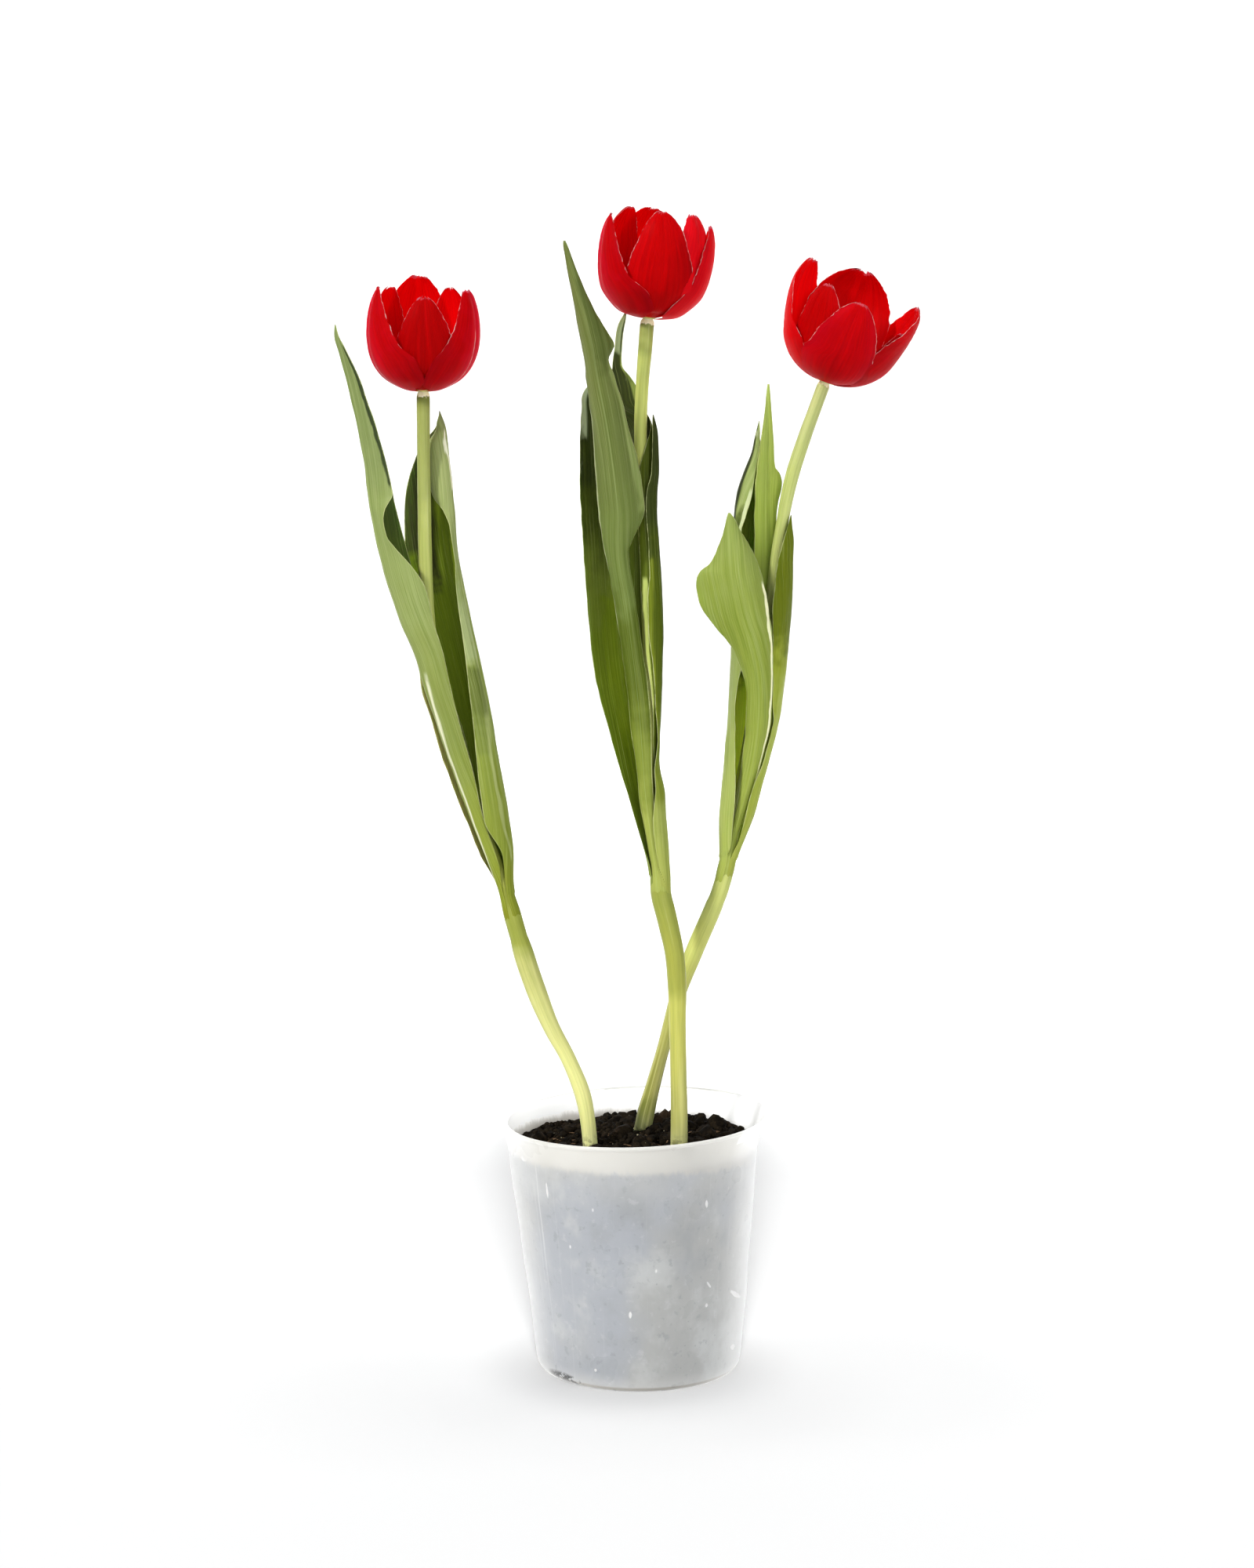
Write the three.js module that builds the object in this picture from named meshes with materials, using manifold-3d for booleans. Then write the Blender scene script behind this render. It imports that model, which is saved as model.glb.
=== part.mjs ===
import * as THREE from "three";
import { mergeVertices } from "three/addons/utils/BufferGeometryUtils.js";
import Module from "manifold-3d";

// Three red tulips in a frosted plastic nursery pot. Millimetres, +Z up.
// The origin is the middle of the pot's underside; +X is the viewer's right
// when the open side of the group faces -Y.

const wasm = await Module();
wasm.setup();

// ---------------------------------------------------------------- dimensions
const POT_HEIGHT = 116.3; // underside to rim
const POT_WALL = 1.25; // wall thickness
const POT_FLOOR = 1.4; // floor thickness
const POT_SIDES = 34; // facets round the pot
const RIM_TILT = 2.2; // rise of the rim at +X, and its fall at -X
const FOOT_RADIUS = 43; // flat part of the underside
const DRAIN_RADIUS = 4.2; // drain holes
const DRAIN_CIRCLE = 36; // centres of the drain holes
const DRAIN_HOLES = 6;
const GAP = 0.35; // clearance between neighbouring pieces
const SOIL_RIM = 103.6; // soil level at the wall
const SOIL_MOUND = 4.6; // how much higher the middle of the soil is
const LEAF_THICKNESS = 0.7;
const LEAF_EDGE = 0.42; // share of the thickness left at a leaf's edge
const PETAL_THICKNESS = 0.55;
const PETAL_EDGE = 0.5;
const STEM_SIDES = 9;
const STEM_STEPS = 26;
const BULB_HEIGHT = 46; // basal plate to nose
const BULB_RADIUS = 14.5;
const BULB_BASE = 42; // height of the basal plates above the underside
const OVARY_HEIGHT = 22;
const STAMEN_COUNT = 6;

// Outer radius of the pot at each height, and how far the soft wall is out of
// true there.
const POT_WALL_CURVE = [
  [5, 46.96, 1.0],
  [14, 47.83, 0.9],
  [32.6, 49.73, 0.7],
  [51.1, 51.63, -0.2],
  [67.8, 53.35, -0.6],
  [88.0, 55.58, -1.5],
  [100.9, 56.77, -1.7],
  [105.7, 57.46, -1.7],
  [110.1, 58.33, -1.2],
  [114.4, 59.35, -0.4],
];

// Stems from the bulb's nose up: x, y, z of the axis and the radius.
const STEMS = {
  stem_a: [
    [-20.8, -19.6, 88.3, 3.6],
    [-20.6, -20.2, 97, 3.4],
    [-21.5, -20.5, 114, 3.35],
    [-24.1, -20, 130.1, 3.6],
    [-30.3, -19, 146.1, 3.4],
    [-38.5, -18, 161.7, 3.8],
    [-45, -17, 177.6, 4.5],
    [-50.4, -16.3, 193.6, 4.6],
    [-52.9, -16, 202.1, 3.9],
    [-54.6, -15.9, 208.2, 2.7],
    [-57.4, -15.7, 218.1, 2.5],
    [-61.8, -15.3, 233, 2.5],
    [-69.4, -15, 253.5, 2.6],
    [-72.9, -14.8, 264.4, 2.7],
    [-77, -14.6, 278.8, 2.8],
    [-81.4, -14.2, 294.9, 2.9],
    [-86.5, -13.9, 313.1, 3],
    [-91.3, -13.5, 334.1, 3],
    [-92.7, -13.2, 348, 3],
    [-93.3, -13, 361.9, 3],
    [-93.8, -12.3, 391.3, 2.95],
    [-94, -11.6, 417.1, 2.9],
    [-94, -11, 444.5, 2.9],
  ],
  stem_b: [
    [19.6, -18.6, 88.3, 3.8],
    [19.2, -19.2, 97, 3.8],
    [19.1, -19, 124.8, 3.75],
    [18.7, -18, 143, 3.75],
    [18.3, -17, 161.1, 3.8],
    [18.1, -16, 179.2, 4.2],
    [16.7, -15, 195.5, 4.3],
    [14.4, -14.5, 206.5, 4.3],
    [12.5, -14.2, 214.3, 3.4],
    [11.4, -14, 218.5, 2.6],
    [9.5, -13.4, 231.9, 2.5],
    [7.5, -12.6, 248.1, 2.5],
    [5.8, -11.7, 262.9, 2.5],
    [5.2, -10.8, 277.6, 2.5],
    [5.1, -10, 290.6, 2.6],
    [5.4, -9, 305.6, 2.7],
    [5.6, -8, 320.2, 2.8],
    [5.4, -7, 333.4, 2.9],
    [4.7, -5.6, 353.3, 2.95],
    [4.2, -4.4, 369.9, 3],
    [3.1, -3, 389, 3],
    [2.2, -1.5, 409.8, 2.95],
    [1.7, 0, 432.2, 2.9],
    [2.4, 1, 447.4, 2.9],
    [3.6, 2, 462.9, 3.1],
    [4.8, 3, 476.3, 3.1],
  ],
  stem_c: [
    [2.4, 12, 88.3, 3.8],
    [1.6, 6.5, 98, 3.9],
    [3.9, 4.3, 114.9, 3.9],
    [7.4, 4.8, 128.7, 3.3],
    [12.4, 5.3, 147.3, 2.9],
    [19.6, 6, 173.7, 3.5],
    [27, 6.6, 193.2, 4],
    [35, 7.2, 211.9, 4],
    [37.3, 7.4, 217.7, 3.3],
    [38.9, 7.6, 222.7, 2.6],
    [41.2, 7.8, 232, 2.5],
    [44, 8.3, 246.4, 2.5],
    [48.1, 9, 267.8, 2.6],
    [53, 9.8, 292.7, 2.8],
    [57.5, 10.6, 317.6, 2.9],
    [60.6, 11.4, 345.8, 2.9],
    [62.6, 12, 367, 2.9],
    [65.5, 12.6, 386.7, 2.8],
    [66.8, 12.8, 394, 2.95],
    [70.1, 13.2, 408.4, 3.1],
    [74.6, 13.6, 422.4, 3],
    [79.8, 14, 437, 2.9],
    [83.9, 14.3, 448.2, 2.9],
  ],
};
// Leaves, station by station from the sheath to the tip: x, y, z of the rib,
// the compass angle that the outer face looks to (0 is -Y, 90 is +X), the fold
// angle at the rib, then width and total turning of the left half and of the
// right half (mm and degrees).
const LEAVES = {
  leaf_a1: [
    [-57.8, -15.6, 207.4, -95, 0, 6, 100, 4.3, 72],
    [-61.6, -15.3, 221.6, -95, 0, 5.6, 100, 4.1, 74],
    [-65.5, -15.3, 233, -92, 0, 6.4, 90.7, 6.9, 102.5],
    [-73.3, -15, 253.5, -90, 0, 7.3, 91.2, 8.7, 98.6],
    [-82.6, -14.5, 278.8, -88, 0, 12.7, 116.3, 13, 111.5],
    [-88.1, -14.2, 294.9, -86, 8, 13.6, 104, 13.7, 92.9],
    [-94.5, -14, 313.9, -84, 12, 13.5, 96.5, 15.4, 85.7],
    [-98.6, -14, 328.2, -84, 15, 13.5, 86.3, 16.4, 82.3],
    [-103.9, -14, 340.4, -84, 20, 15.3, 82.4, 17.7, 77.4],
    [-108.4, -14, 352.6, -84, 25, 16, 73.4, 19.4, 72.6],
    [-112.1, -14.2, 364.7, -84, 30, 15.9, 59.4, 16.3, 52.8],
    [-114.4, -14.4, 374.8, -84, 32, 15.4, 54.9, 11.4, 20.3],
    [-115.7, -14.6, 381.4, -84, 35, 14.8, 48.6, 9.3, -8.3],
    [-116.7, -14.7, 386.9, -84, 38, 14.3, 42.9, 9, -16.8],
    [-117.8, -14.8, 392.4, -84, 42, 13.7, 37.2, 9.9, -3.1],
    [-118.8, -15, 398.7, -84, 48, 13.1, 30.6, 12.9, 22.1],
    [-120.2, -15.6, 411.4, -84, 55, 11.2, 27.4, 11.5, 15.2],
    [-123.5, -16.8, 432, -82, 60, 8.3, 28.8, 8.8, 1.4],
    [-127.3, -18, 449.4, -80, 64, 6.1, 29.5, 6.6, -10.4],
    [-130.3, -19, 461.7, -78, 64, 3.6, 36.3, 3.9, -8],
    [-132.1, -19.6, 468.5, -76, 64, 2.1, 46.6, 2.4, -14.5],
    [-131.8, -20, 473.9, -75, 55, 0.5, 0, 0.5, 0],
  ],
  leaf_a2: [
    [-50.4, -16.3, 209.6, 85, 0, 6.3, 82, 11.5, 150],
    [-53.9, -16, 221.6, 85, 0, 5.9, 80, 11.1, 150],
    [-55.1, -15.4, 239.4, 88, 0, 7.5, 78.2, 22.2, 173],
    [-57.4, -15, 258.1, 90, 0, 15, 118.4, 28.2, 159.7],
    [-60.3, -14.6, 276, 92, 0, 14.6, 116.5, 32.8, 154.6],
    [-63.5, -14, 294.9, 94, 0, 13, 109.5, 36.3, 150.4],
    [-66.9, -13.3, 313.8, 95, 5, 11.4, 91.8, 37.5, 133.4],
    [-71.5, -12.5, 335.7, 96, 10, 8.9, 69.8, 33.8, 102.1],
    [-76.1, -11.5, 357.9, 97, 15, 7.2, 47.2, 31.1, 85.4],
    [-79.2, -10.5, 374.5, 98, 20, 5.3, 12.5, 28.9, 70.9],
    [-80.1, -9.5, 385.6, 99, 25, 4.8, 31.9, 27.5, 59.3],
    [-80.3, -8.8, 392.1, 100, 30, 6.2, 89.4, 26.7, 47.9],
    [-80.7, -8, 399.3, 100, 35, 12.5, 137, 25.4, 37.7],
    [-81.5, -6.5, 410, 100, 45, 14.1, 125, 21.6, 16.3],
    [-83.1, -4.6, 421.6, 100, 50, 11.7, 114, 15.3, 0.5],
    [-84.4, -3.2, 428.8, 100, 35, 6.5, 149.2, 7.6, 14.9],
    [-87.4, -1.2, 436, 100, 20, 0.5, 0, 0.5, 0],
  ],
  leaf_b1: [
    [10.2, -17.5, 218.5, -20, 0, 3.9, 68, 4.3, 74],
    [8.4, -16.8, 231.9, -18, 0, 3.8, 68, 4, 72],
    [6.4, -16.1, 247.5, -15, 0, 3.3, 53.2, 3.1, 61.8],
    [4.3, -15.7, 262.3, -14, 0, 4, 52.4, 3.4, 38.3],
    [3.2, -15.4, 275, -12, 0, 4.2, 64.2, 3.7, 30.2],
    [1.8, -15, 295.7, -10, 5, 5.8, 43.8, 4.6, 20.1],
    [0, -14.4, 314.2, -10, 8, 6.2, 47, 5.2, 36],
    [-2.5, -14.6, 334.2, -10, 8, 7.1, 53.1, 5.5, 63.7],
    [-5.1, -15.2, 354.1, -10, 8, 8.2, 57.1, 6, 80.1],
    [-7.3, -16.4, 367.3, -10, 8, 8.9, 61.9, 5.9, 82.6],
    [-8, -17, 373.6, -10, 8, 9.4, 58.6, 5.9, 82.7],
    [-8.2, -17.6, 379.5, -10, 8, 10.1, 52.7, 8.4, 66.6],
    [-8.2, -18.8, 391.6, -10, 10, 11.7, 39.1, 13.6, 57.8],
    [-8.9, -19.6, 398.9, -10, 10, 11.9, 41.4, 14.1, 58.7],
    [-10.7, -21.4, 413.7, -10, 10, 11.6, 51.5, 13.6, 63.4],
    [-12.6, -23.4, 426.8, -10, 10, 11.4, 60.9, 12, 69.4],
    [-14.3, -25, 436.7, -10, 10, 11.2, 65.3, 11.3, 74.8],
    [-16.7, -27, 448.6, -8, 10, 10.4, 76.2, 10.3, 73.5],
    [-18.2, -28.6, 457.4, -8, 10, 9.7, 79.9, 8.3, 79.1],
    [-18.7, -29.2, 460.1, -8, 10, 9.7, 80.7, 9.9, 72.1],
    [-19.3, -30, 463.8, -8, 10, 9.5, 79.3, 11.5, 62.5],
    [-20.8, -31.4, 470.6, -8, 10, 9, 78.8, 9.4, 62.3],
    [-22.8, -32.8, 478.6, -8, 10, 7.9, 81.2, 6.6, 72.7],
    [-26.2, -35, 490.7, -8, 10, 5.8, 84.9, 4, 88.3],
    [-29.5, -36.8, 502, -8, 10, 3, 83.8, 2.2, 82.3],
    [-31.3, -38.6, 509.6, -8, 10, 0.5, 0, 0.5, 0],
  ],
  leaf_b2: [
    [6.3, -13.1, 219.9, -105, 0, 4.9, 65, 4.7, 62],
    [4.7, -12.3, 232.6, -108, 0, 4.8, 65, 4.5, 60],
    [2.4, -10.8, 247.8, -125, 0, 3.9, 24.8, 3.3, 25.1],
    [-0.5, -9, 260.7, -135, 0, 6.5, 18.6, 4.1, 27.8],
    [-4, -7, 276, -140, 0, 8.1, 20.8, 5.1, 23.5],
    [-7.5, -4.5, 293, -142, 0, 9.9, 34.1, 6.8, 19.6],
    [-11.4, -2, 312.9, -144, 0, 11.6, 36.4, 8.5, 18.8],
    [-13.5, 0, 329.3, -145, 0, 11.9, 36.3, 9.7, 23.4],
    [-14.9, 1.5, 346, -145, 0, 11.9, 37.2, 10.3, 24.6],
    [-15.9, 2.6, 362.8, -145, 0, 11.5, 37.2, 10.7, 28.4],
    [-17, 3.4, 383, -145, 0, 10.8, 37, 11.2, 28.5],
    [-18, 3.6, 396.3, -145, 0, 10.4, 38, 11.3, 31.3],
    [-19, 3.4, 416.5, -145, 0, 9.2, 36.8, 11, 40],
    [-19.7, 2.6, 430.4, -145, 0, 7.1, 30, 10.3, 48.6],
    [-20.4, 1.4, 439.1, -145, 0, 5.4, 21.2, 9.2, 60.1],
    [-21, -1.5, 447.1, -145, 0, 0.5, 0, 0.5, 0],
  ],
  leaf_b3: [
    [13.4, -10.5, 218.5, 150, 0, 4.5, 78, 4, 70],
    [11.4, -10, 231.9, 150, 0, 4.4, 78, 3.9, 70],
    [8.8, -9.2, 247.7, 150, 0, 3.7, 55.3, 3.5, 81.5],
    [6.8, -7.6, 270.1, 150, 0, 4.8, 74.5, 5.2, 76.8],
    [8.3, -7.9, 290.3, 118, 0, 4.9, 79.3, 9.4, 104.3],
    [9.3, -7.3, 312.4, 112, 0, 7, 103.2, 12.4, 109.8],
    [9.4, -6.1, 333.3, 110, 0, 9.9, 145.9, 14.8, 108.9],
    [8.7, -4.9, 353.2, 110, 0, 10.9, 154.2, 15.6, 102.4],
    [8.2, -3.9, 369.9, 110, 0, 11.5, 159.5, 16.8, 98.7],
    [7.5, -2.7, 383.4, 110, 0, 10.9, 156.6, 17.6, 97.7],
    [7, -1.3, 395.8, 112, 0, 10.8, 156.7, 18, 95.1],
    [6.5, 0.3, 409.7, 114, 0, 10.3, 144.2, 18.4, 95],
    [6.3, 1.3, 418.3, 118, 0, 7.7, 109.7, 18.4, 90.3],
    [6.6, 3.6, 426.2, 125, 0, 6.1, 89, 18.4, 83.9],
    [4, 6.2, 432.7, 145, 0, 3.7, 58.3, 15.4, 56],
    [-4.6, 9.1, 438.9, 164, 0, 7.7, 9.4, 7.4, 46.3],
    [-6.2, 9.4, 446.5, 165, 0, 6.4, 4.6, 6.1, 51.6],
    [-7.1, 9.6, 450.3, 165, 0, 4.9, 3.1, 5, 54],
    [-8.5, 9.3, 455.9, 165, 0, 2, 4.7, 2.7, 66.3],
    [-8.4, 9.1, 464.2, 165, 20, 2, -46.4, 1.6, 33.7],
    [-7.1, 8.8, 473.5, 165, 20, 1.8, -56.4, 1.4, 14.3],
    [-5, 8.3, 479, 165, 20, 0.5, 0, 0.5, 0],
  ],
  leaf_b4: [
    [17.2, -15.7, 219.9, 72, 0, 7.4, 98, 7.6, 100],
    [15.9, -15.3, 232.6, 72, 0, 7.3, 98, 7.4, 100],
    [13.1, -12.9, 253.1, 78, 0, 8.2, 79.1, 8, 115.3],
    [11.9, -12.2, 269.2, 80, 0, 6.1, 57.2, 8.6, 103.6],
    [10.2, -11.1, 277.7, 82, 0, 4.9, 41.5, 9.1, 101.8],
    [10.1, -10.3, 289.9, 84, 0, 3.7, 15.2, 9.5, 96.5],
    [10.8, -9.3, 305.6, 84, 0, 5.2, 45.4, 10.9, 93.3],
    [11.4, -8.3, 323.4, 84, 5, 6.8, 58.4, 12.7, 78.8],
    [11.7, -7.1, 340.1, 84, 10, 9.2, 67.9, 13.6, 69.2],
    [11.5, -6.5, 353, 84, 10, 9.4, 69, 14, 63.4],
    [10.7, -5.9, 364.8, 84, 10, 7.9, 55.4, 13.7, 55.4],
    [9.7, -4.9, 378.7, 84, 10, 7.5, 48, 13.4, 46.7],
    [9.1, -4.1, 390.8, 84, 15, 7.8, 42.7, 13.2, 28.8],
    [9, -3.7, 399.1, 84, 20, 7.2, 33.7, 12.7, 14.6],
    [9.9, -3.6, 409.8, 84, 30, 5.8, 2.6, 11.1, -8.2],
    [9.7, -3.2, 420.5, 84, 40, 4.8, -17.9, 7.8, -34.3],
    [9.1, -3.2, 428.1, 84, 45, 3.4, -20.6, 4.3, -38.6],
    [7.3, -3.8, 434.4, 84, 40, 0.5, 0, 0.5, 0],
  ],
  leaf_c1: [
    [39.9, 4.4, 224.8, 8, 0, 4, 70, 4, 70],
    [41.9, 4.2, 233.8, 8, 0, 3.9, 70, 3.9, 70],
    [44.6, 4.5, 246.9, 0, 0, 2.4, 64.2, 3, 68.3],
    [48.3, 3.9, 260.6, -5, 0, 3.1, 36.5, 4.1, 73],
    [51.8, 1.7, 276.2, -10, 0, 5.2, 36.1, 6.1, 98],
    [54.1, -2.5, 293.1, -12, 0, 7, 57.8, 9.4, 113.1],
    [54.3, -6.9, 309.9, -14, 0, 8.3, 62.6, 11.9, 130.7],
    [53.1, -10.1, 321.8, -15, 0, 9.3, 46.2, 13.3, 125.1],
    [50.8, -12.7, 331.9, -16, 0, 11.2, 28.7, 14.6, 112.8],
    [49.4, -13.9, 336.9, -16.5, 0, 13.2, 19.2, 15.4, 107.1],
    [47.9, -14.9, 341.1, -17, 0, 14.9, 11.8, 15.9, 102.6],
    [45.8, -16.5, 348.2, -17, 0, 17.9, 8, 16.4, 94.8],
    [44.9, -17.3, 352.5, -16.5, 0, 18.7, 8.3, 16.3, 92.3],
    [43.9, -18, 357, -16, 0, 18.8, 11, 15.7, 88.6],
    [42.9, -18.7, 361.9, -15, 0, 17.8, 13.7, 15.3, 82.7],
    [42.3, -19.1, 365.1, -15, 0, 15.9, 17.5, 14.8, 82.5],
    [41.9, -19.5, 368.9, -15, 0, 11.4, 31.8, 13.7, 82.9],
    [41.2, -20.1, 379, -14, 5, 6.4, 47.6, 9.3, 76.1],
    [40.8, -20.1, 385.8, -12, 10, 3.2, 44.9, 5.1, 69.4],
    [40.5, -19.7, 392, -10, 10, 0.5, 0, 0.5, 0],
  ],
  leaf_c2: [
    [39.8, 10.9, 225.6, 178, 0, 4.1, 72, 4.1, 72],
    [41.7, 11, 233.8, 178, 0, 4, 72, 4, 72],
    [44.1, 11.9, 245.8, 175, 0, 3, 53.1, 3.1, 71.1],
    [48.3, 13.2, 267.2, 172, 0, 3.3, 43.7, 4.4, 73.8],
    [53.2, 14.4, 292.2, 170, 0, 3.8, 23.6, 5.5, 81.7],
    [57, 15.6, 317, 170, 0, 4.7, 4.7, 7, 83.9],
    [58.3, 16.2, 341.9, 168, 0, 5.3, -15.4, 8.9, 110.7],
    [58.2, 15.8, 367.1, 168, 0, 5.8, -36.1, 10.7, 129.1],
    [58.1, 15, 378.8, 168, 0, 5.4, -55.3, 10.2, 128.8],
    [58, 14.4, 388, 168, 0, 5.7, -67.4, 9.9, 125.2],
    [57.9, 13.8, 395, 168, 0, 6.7, -64.9, 9.4, 120.8],
    [58, 13.2, 403.1, 168, 0, 8.1, -56.8, 8.6, 116.9],
    [58.2, 12.8, 407.4, 168, 0, 6.5, -53.7, 8, 114.6],
    [58.1, 12.4, 410.2, 168, 0, 4.2, -40.8, 7.4, 114.2],
    [58.4, 11.2, 422.5, 168, 0, 2.9, -32.1, 5.3, 115.7],
    [58.6, 9.6, 436.8, 168, 0, 1.5, -40.2, 2.2, 103.3],
    [58.6, 8, 447.6, 168, 0, 0.5, 0, 0.5, 0],
  ],
  leaf_c3: [
    [34.1, 6.7, 222.7, -78, 0, 6.2, 82, 5.6, 74],
    [36.9, 7, 233.8, -78, 0, 6.1, 82, 5.5, 74],
    [36.9, 8.2, 241.7, -80, 0, 9.1, 117.2, 8.4, 79.3],
    [38.6, 8.2, 264.3, -82, 0, 10.3, 104.5, 9.2, 68.6],
    [39.9, 8.2, 280.8, -82, 0, 12.4, 108.2, 9.1, 42.3],
    [40.9, 8.2, 291.8, -82, 0, 13.6, 109, 9.2, 23.9],
    [41.9, 8.2, 310, -82, 0, 14.2, 108.6, 10.3, 12.1],
    [42.2, 8.2, 318.2, -82, 0, 15.5, 113.8, 11.4, 24.2],
    [42.6, 8.4, 326.3, -82, 0, 16.3, 117.7, 12.9, 36.3],
    [42.8, 9.2, 353.1, -82, 0, 17.5, 125.4, 15.2, 57.9],
    [43.1, 10, 374.2, -82, 0, 17.3, 128, 12.2, 48.6],
    [43.4, 10.4, 382.6, -82, 0, 16.7, 129, 9.5, 26.2],
    [43.8, 11, 389.9, -82, 0, 16.1, 131.6, 9.1, 50.3],
    [44.8, 11.6, 398.3, -82, 5, 14.4, 122.8, 9, 76.5],
    [48.3, 12.6, 409.1, -80, 10, 10.3, 110.6, 6.3, 74.5],
    [51.1, 13.2, 416.1, -80, 15, 7.1, 91.5, 4, 72.3],
    [53, 14.2, 424.4, -78, 20, 3.6, 73.4, 2.6, 67.9],
    [54.8, 15, 431.1, -75, 10, 0.5, 0, 0.5, 0],
  ],
  leaf_c4: [
    [43.9, 7.3, 223.4, 88, 0, 5.9, 78, 6.5, 86],
    [46.3, 7.5, 233.8, 88, 0, 5.8, 78, 6.4, 86],
    [49.3, 8, 241.7, 86, 0, 6.1, 49.3, 7.1, 82],
    [52.6, 8.2, 251.7, 84, 0, 7.8, 51.4, 8.2, 84.7],
    [56.4, 8.2, 266.4, 82, 0, 8.7, 42.9, 9.5, 87.8],
    [59.6, 8.2, 278.2, 80, 0, 8.1, 20.3, 10.8, 92.6],
    [63.5, 8.2, 293.6, 80, 0, 9, 19.5, 11.8, 91.6],
    [65.8, 8.4, 308.2, 80, 0, 11.1, 32.6, 11.8, 82.9],
    [67.8, 8.6, 328, 80, 0, 13.4, 45, 11.7, 72.8],
    [69.4, 9, 345.3, 80, 5, 14.9, 46.3, 11.7, 65.9],
    [70.1, 9.4, 360.1, 80, 10, 13.4, 38.7, 10.8, 51.2],
    [70.2, 9.8, 368.9, 80, 15, 11.4, 29.9, 9.8, 38.4],
    [70.4, 11.1, 379.1, 80, 20, 7.8, 14.1, 7.8, 16.9],
    [69.7, 11.5, 385.4, 80, 30, 3.6, -15.3, 4.8, -11],
    [69.3, 11.7, 389.2, 80, 30, 0.5, 0, 0.5, 0],
  ],
};
// Flowers. wall: radius and height of the outer petals' middle line, from the
// receptacle up. petals: compass angle, height, half width, inset of the
// layer, lean, cup, spiral, bluntness, skew.
const FLOWERS = {
  a: {
    at: [-93.98, -11.0, 444.83],
    tilt: 0.3,
    wall: [
      [3.0, 0.0], [7.2, 0.7], [12, 2.6], [16.8, 5.5], [21.0, 10.2], [23.4, 15.5],
      [24.7, 22], [24.9, 28], [24.2, 35], [22.8, 40.5], [20.4, 46], [17.5, 51], [15, 55],
    ],
    petals: [
      [-71, 46, 22.5, 0, 0, 1.2, 0.8, 0, 0],
      [72, 45, 19.5, 0, 0, 1.2, 0.7, 0, 0],
      [190, 51.3, 20, 0, 0, 1.2, 0.8, 0.35, 0],
      [5, 41.6, 16, 2.6, 0, 1.0, 0.5, 0, 0],
      [138.5, 46, 16, 2.75, 0, 1.0, 0.5, 0.7, 0],
      [-120, 46, 17, 2.6, 0, 1.0, 0.5, 0.3, 0],
    ],
  },
  b: {
    at: [4.85, 3.0, 476.57],
    tilt: 7,
    wall: [
      [3.0, 0.0], [7.2, 0.5], [13.2, 2.1], [18.5, 6.4], [22.2, 10.9], [24.3, 16.5],
      [25.4, 23], [25.7, 31], [25.2, 37], [23.9, 42], [21.0, 47], [17.5, 51], [15, 55],
    ],
    petals: [
      [-72.5, 44, 20.5, 0, 0, 1.2, 1.0, 0.1, 0],
      [96, 44, 20, 0, 0, 1.2, 0.7, 0.9, 0],
      [191, 49.5, 20, 0, 0, 1.2, 0.9, 0.4, 0],
      [10, 47.2, 17, 2.0, 0.8, 1.0, 0.2, 0.15, -8],
      [55, 47.6, 16, 3.4, 0.5, 1.0, 0.3, 0.5, 4],
      [-120, 48.3, 17, 3.0, 0, 1.0, -0.5, 1.1, 0],
    ],
  },
  c: {
    at: [84.01, 14.3, 448.43],
    tilt: 20,
    wall: [
      [3.0, 0.0], [7.4, 0.6], [12.6, 2.2], [19.4, 6.6], [24.0, 12.4], [26.6, 19.5],
      [28.4, 27], [29.4, 34], [29.4, 40], [28.2, 45.5], [26.0, 50], [23.0, 54], [20, 58],
    ],
    petals: [
      [3, 38, 17, 0, 0, 1.2, 0.5, 0.45, 0],
      [-114, 50.3, 23, 0, 0, 1.2, 0.5, 0.5, 0],
      [109, 46, 22, 0, 2, 1.2, 0.5, 0.5, 0],
      [-34, 41.3, 15, 2.8, 0, 1.0, 0.4, 0.3, 0],
      [178, 53.3, 24, 2.8, 0, 1.0, 0.4, 0.9, 0],
      [71, 32, 15, 2.8, 0, 1.0, 0.4, 0.2, 0],
    ],
  },
};
// Share of a petal's half width at each share of its length.
const PETAL_OUTLINE = [
  [0, 0.15], [0.06, 0.3], [0.14, 0.56], [0.24, 0.82], [0.34, 0.96], [0.44, 1.0],
  [0.52, 0.96], [0.61, 0.85], [0.7, 0.72], [0.8, 0.57], [0.88, 0.42], [0.94, 0.27],
  [0.98, 0.13], [1, 0.045],
];
const BULBS = { a: [-20.8, -19.6], b: [19.6, -18.6], c: [2.4, 12.0] };

// ------------------------------------------------------------------ numerics
const rad = (d) => (d * Math.PI) / 180;
const dist = (a, b) => Math.hypot(a[0] - b[0], a[1] - b[1], a[2] - b[2]);

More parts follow.
